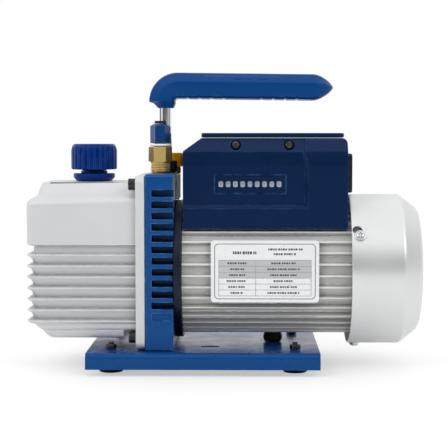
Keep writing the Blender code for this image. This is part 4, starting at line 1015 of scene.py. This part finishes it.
def build_turned_parts():
    """Round pieces, spun again at a finer step with softened edges."""
    x, y, _ = middle("intake_fitting")
    seal = [(6.65 + 1.34 * r, 166.0 + 0.88 * h) for r, h in arc((0, 0), 1.0, 0, 330, 11)]
    stand_turned("flare_seal", seal, x, y, 64)
    top = span("flare_cap_tether")[2]
    disc = [(0.0, top[0]), (4.2, top[0]), (4.4, top[0] + 0.3), (4.4, top[1] - 0.7), (4.1, top[1] - 0.25)]
    disc += [(3.5, top[1]), (1.6, top[1]), (1.2, top[1] - 0.4), (0.0, top[1] - 0.4)]
    stand_turned("flare_cap_tether", disc, x, y, 48)
    fx, fy, _ = middle("filler_seat")
    seat = [(6.0, 146.4), (9.7, 146.4), (10.0, 146.1), (10.0, 145.0), (10.5, 144.6), (15.1, 144.6)]
    seat += [(15.65, 144.1), (15.65, 141.9), (15.3, 141.2), (13.4, 139.1), (12.6, 138.8), (9.0, 138.8)]
    seat += [(9.0, 128.0), (6.0, 128.0)]
    stand_turned("filler_seat", seat, fx, fy, 96)
    gasket = [(7.95 + 1.56 * r, 146.95 + 0.34 * h) for r, h in arc((0, 0), 1.0, 0, 330, 11)]
    stand_turned("filler_seal", gasket, fx, fy, 96)
    sx, sy, _ = middle("side_port_fitting")
    neck = [(1.0, 155.0), (2.3, 155.0), (2.6, 154.6), (2.6, 149.2), (3.1, 149.0), (3.4, 148.6), (3.4, 144.7)]
    neck += [(3.1, 144.3), (1.7, 144.3), (1.7, 130.0), (1.0, 130.0)]
    stand_turned("side_port_fitting", neck, sx, sy, 48)
    shell = [(0.0, 160.0), (3.8, 160.0), (4.6, 159.7), (5.0, 159.0), (5.0, 150.6), (4.8, 150.4), (4.8, 149.9)]
    shell += [(5.0, 149.7), (4.9, 149.4), (2.9, 149.4), (2.9, 156.5), (0.0, 156.5)]
    stand_turned("side_port_cap", shell, sx, sy, 64)
    rx, ry, _ = middle("handle_rod")
    low, high = span("handle_rod")[2]
    bar = [(0.0, high), (4.2, high), (4.65, high - 0.45), (4.65, low + 0.45), (4.2, low), (0.0, low)]
    stand_turned("handle_rod", bar, rx, ry, 64)


def build_feet():
    for node in BODY_OF:
        if node.startswith("foot_screw"):
            soften(node, 0.25)
        elif node.startswith("foot_"):
            x, y, _ = middle(node)
            top = span(node)[2][1]
            profile = [(2.4, top), (7.4, top), (7.8, top - 0.5), (9.0, 1.6), (8.9, 0.7), (8.2, 0.1)]
            profile += [(7.6, 0.0), (4.8, 0.0), (4.4, 0.4), (4.4, 3.5), (2.4, 3.5)]
            stand_turned(node, profile, x, y, 56)
    x, y, _ = middle("motor_buffer")
    low, high = span("motor_buffer")[2]
    profile = [(0.0, high), (5.6, high), (6.3, high - 0.35)]
    for i in range(1, 8):
        bulge = 0.9 * math.sin(math.pi * i / 8)
        profile.append((6.3 + bulge, high - 0.35 - (high - low - 0.7) * i / 8))
    profile += [(6.3, low + 0.35), (5.6, low), (0.0, low)]
    stand_turned("motor_buffer", profile, x, y, 56)


def build_softened():
    """Cast, pressed and machined pieces keep their CAD shape and gain rounded edges."""
    widths = {
        "pump_bracket": 0.35,
        "casing_gasket": 0.08,
        "port_block": 0.3,
        "power_inlet": 0.3,
        "switch_rocker": 0.3,
        "motor_front_shield": 0.4,
        "motor_rear_shield": 0.4,
        "cooling_fan": 0.2,
        "sight_glass_bezel": 0.15,
        "sight_glass": 0.1,
        "drain_plug": 0.25,
        "start_capacitor": 0.8,
        "pump_stator": 0.4,
        "pump_end_plate": 0.4,
        "pump_rotor": 0.2,
        "vane_front": 0.3,
        "vane_rear": 0.3,
        "stator_core": 0.2,
        "stator_windings": 1.2,
        "motor_rotor": 0.3,
        "motor_shaft": 0.4,
        "motor_front_bearing": 0.4,
        "motor_rear_bearing": 0.4,
        "box_screw_1": 0.2,
        "box_screw_2": 0.2,
    }
    for node, width in widths.items():
        soften(node, width, material="port_metal" if node == "port_block" else None)
    for node in BODY_OF:
        if node.startswith("casing_bolt"):
            soften(node, 0.3)


# ---------- stage


def build_stage():
    """A pale floor that fades to plain white away from the object."""
    mesh = bpy.data.meshes.new("floor")
    bm = bmesh.new()
    bmesh.ops.create_grid(bm, x_segments=1, y_segments=1, size=8.0)
    bm.to_mesh(mesh)
    bm.free()
    floor = bpy.data.objects.new("floor", mesh)
    bpy.context.scene.collection.objects.link(floor)
    floor.location = (0.0, 0.0, -0.0002)
    build = Shader("floor")
    reach = build.add("ShaderNodeVectorMath", {0: build.place})
    reach.operation = "LENGTH"
    glow = build.add("ShaderNodeEmission", {"Strength": 1.0})
    seen = build.nodes.new("ShaderNodeLightPath").outputs["Is Camera Ray"]
    far = build.spread(reach.outputs["Value"], 0.5, 1.0, 0.1, 0.55)
    parts = {"Fac": build.math("MULTIPLY", seen, far), 1: build.surface.outputs["BSDF"]}
    blend = build.add("ShaderNodeMixShader", {**parts, 2: glow.outputs["Emission"]})
    build.feed(build.nodes["Material Output"], {"Surface": blend.outputs["Shader"]})
    build.feed(build.surface, {"Base Color": (0.95, 0.95, 0.95, 1.0), "Roughness": 0.7})
    floor.data.materials.append(build.material)


def add_light(name, place, target, size, power):
    data = bpy.data.lights.new(name, "AREA")
    data.shape = "RECTANGLE"
    data.size, data.size_y = size
    data.energy = power
    lamp = bpy.data.objects.new(name, data)
    bpy.context.scene.collection.objects.link(lamp)
    lamp.location = place
    aim = Vector(target) - Vector(place)
    lamp.rotation_euler = aim.to_track_quat("-Z", "Y").to_euler()


def build_world():
    """White to the camera; for light and reflections bright above, behind and beside, dim in front."""
    world = bpy.data.worlds.new("studio")
    bpy.context.scene.world = world
    tree = Tree(world)
    place = tree.nodes.new("ShaderNodeTexCoord").outputs["Generated"]
    along = tree.add("ShaderNodeSeparateXYZ", {"Vector": place}).outputs

    def ramp(axis, start, end, low, high):
        return tree.spread(along[axis], low, high, start, end, "SMOOTHSTEP")

    above = ramp("Z", 0.2, 0.75, 0.14, 1.25)
    left_side = ramp("X", -0.5, -0.95, 0.1, 0.85)
    right_side = ramp("X", 0.5, 0.95, 0.1, 0.5)
    beside = tree.math("MAXIMUM", left_side, right_side)
    behind = ramp("Y", -0.15, 0.45, 0.1, 1.0)
    level = tree.math("MAXIMUM", above, tree.math("MAXIMUM", beside, behind))
    white = (1.0, 1.0, 1.0, 1.0)
    lit = tree.add("ShaderNodeBackground", {"Color": white, "Strength": level})
    plain = tree.feed(tree.nodes["Background"], {"Color": white, "Strength": 1.0})
    seen = tree.nodes.new("ShaderNodeLightPath").outputs["Is Camera Ray"]
    lights = {"Fac": seen, 1: lit.outputs["Background"], 2: plain.outputs["Background"]}
    blend = tree.add("ShaderNodeMixShader", lights)
    tree.feed(tree.nodes["World Output"], {"Surface": blend.outputs["Shader"]})


def build_lights():
    target = (0.0, 0.0, 0.1)
    add_light("front_left", (-0.8, -1.0, 1.0), target, (0.6, 0.6), 4.5)
    add_light("front_right", (0.9, -0.9, 0.9), target, (0.5, 0.6), 3.0)


def build_camera():
    data = bpy.data.cameras.new("camera")
    data.lens = 104.0
    data.sensor_width = 36.0
    camera = bpy.data.objects.new("camera", data)
    bpy.context.scene.collection.objects.link(camera)
    camera.location = (0.0134, -0.98, 0.1696)
    pitch_down, yaw = 3.711, 0.882
    camera.rotation_euler = (math.radians(90.0 - pitch_down), 0.0, math.radians(yaw))
    data.clip_start, data.clip_end = 0.01, 50.0
    bpy.context.scene.camera = camera


build_casing()
build_housing()
build_fan_cover()
build_cover_screws()
build_base()
build_terminal_box()
build_lid()
build_rating_plate()
build_grip()
build_filler_cap()
build_intake()
build_flare_cap()
build_knob()
build_turned_parts()
build_feet()
build_softened()
build_stage()
build_world()
build_lights()
build_camera()
bpy.context.scene.view_settings.view_transform = "Standard"
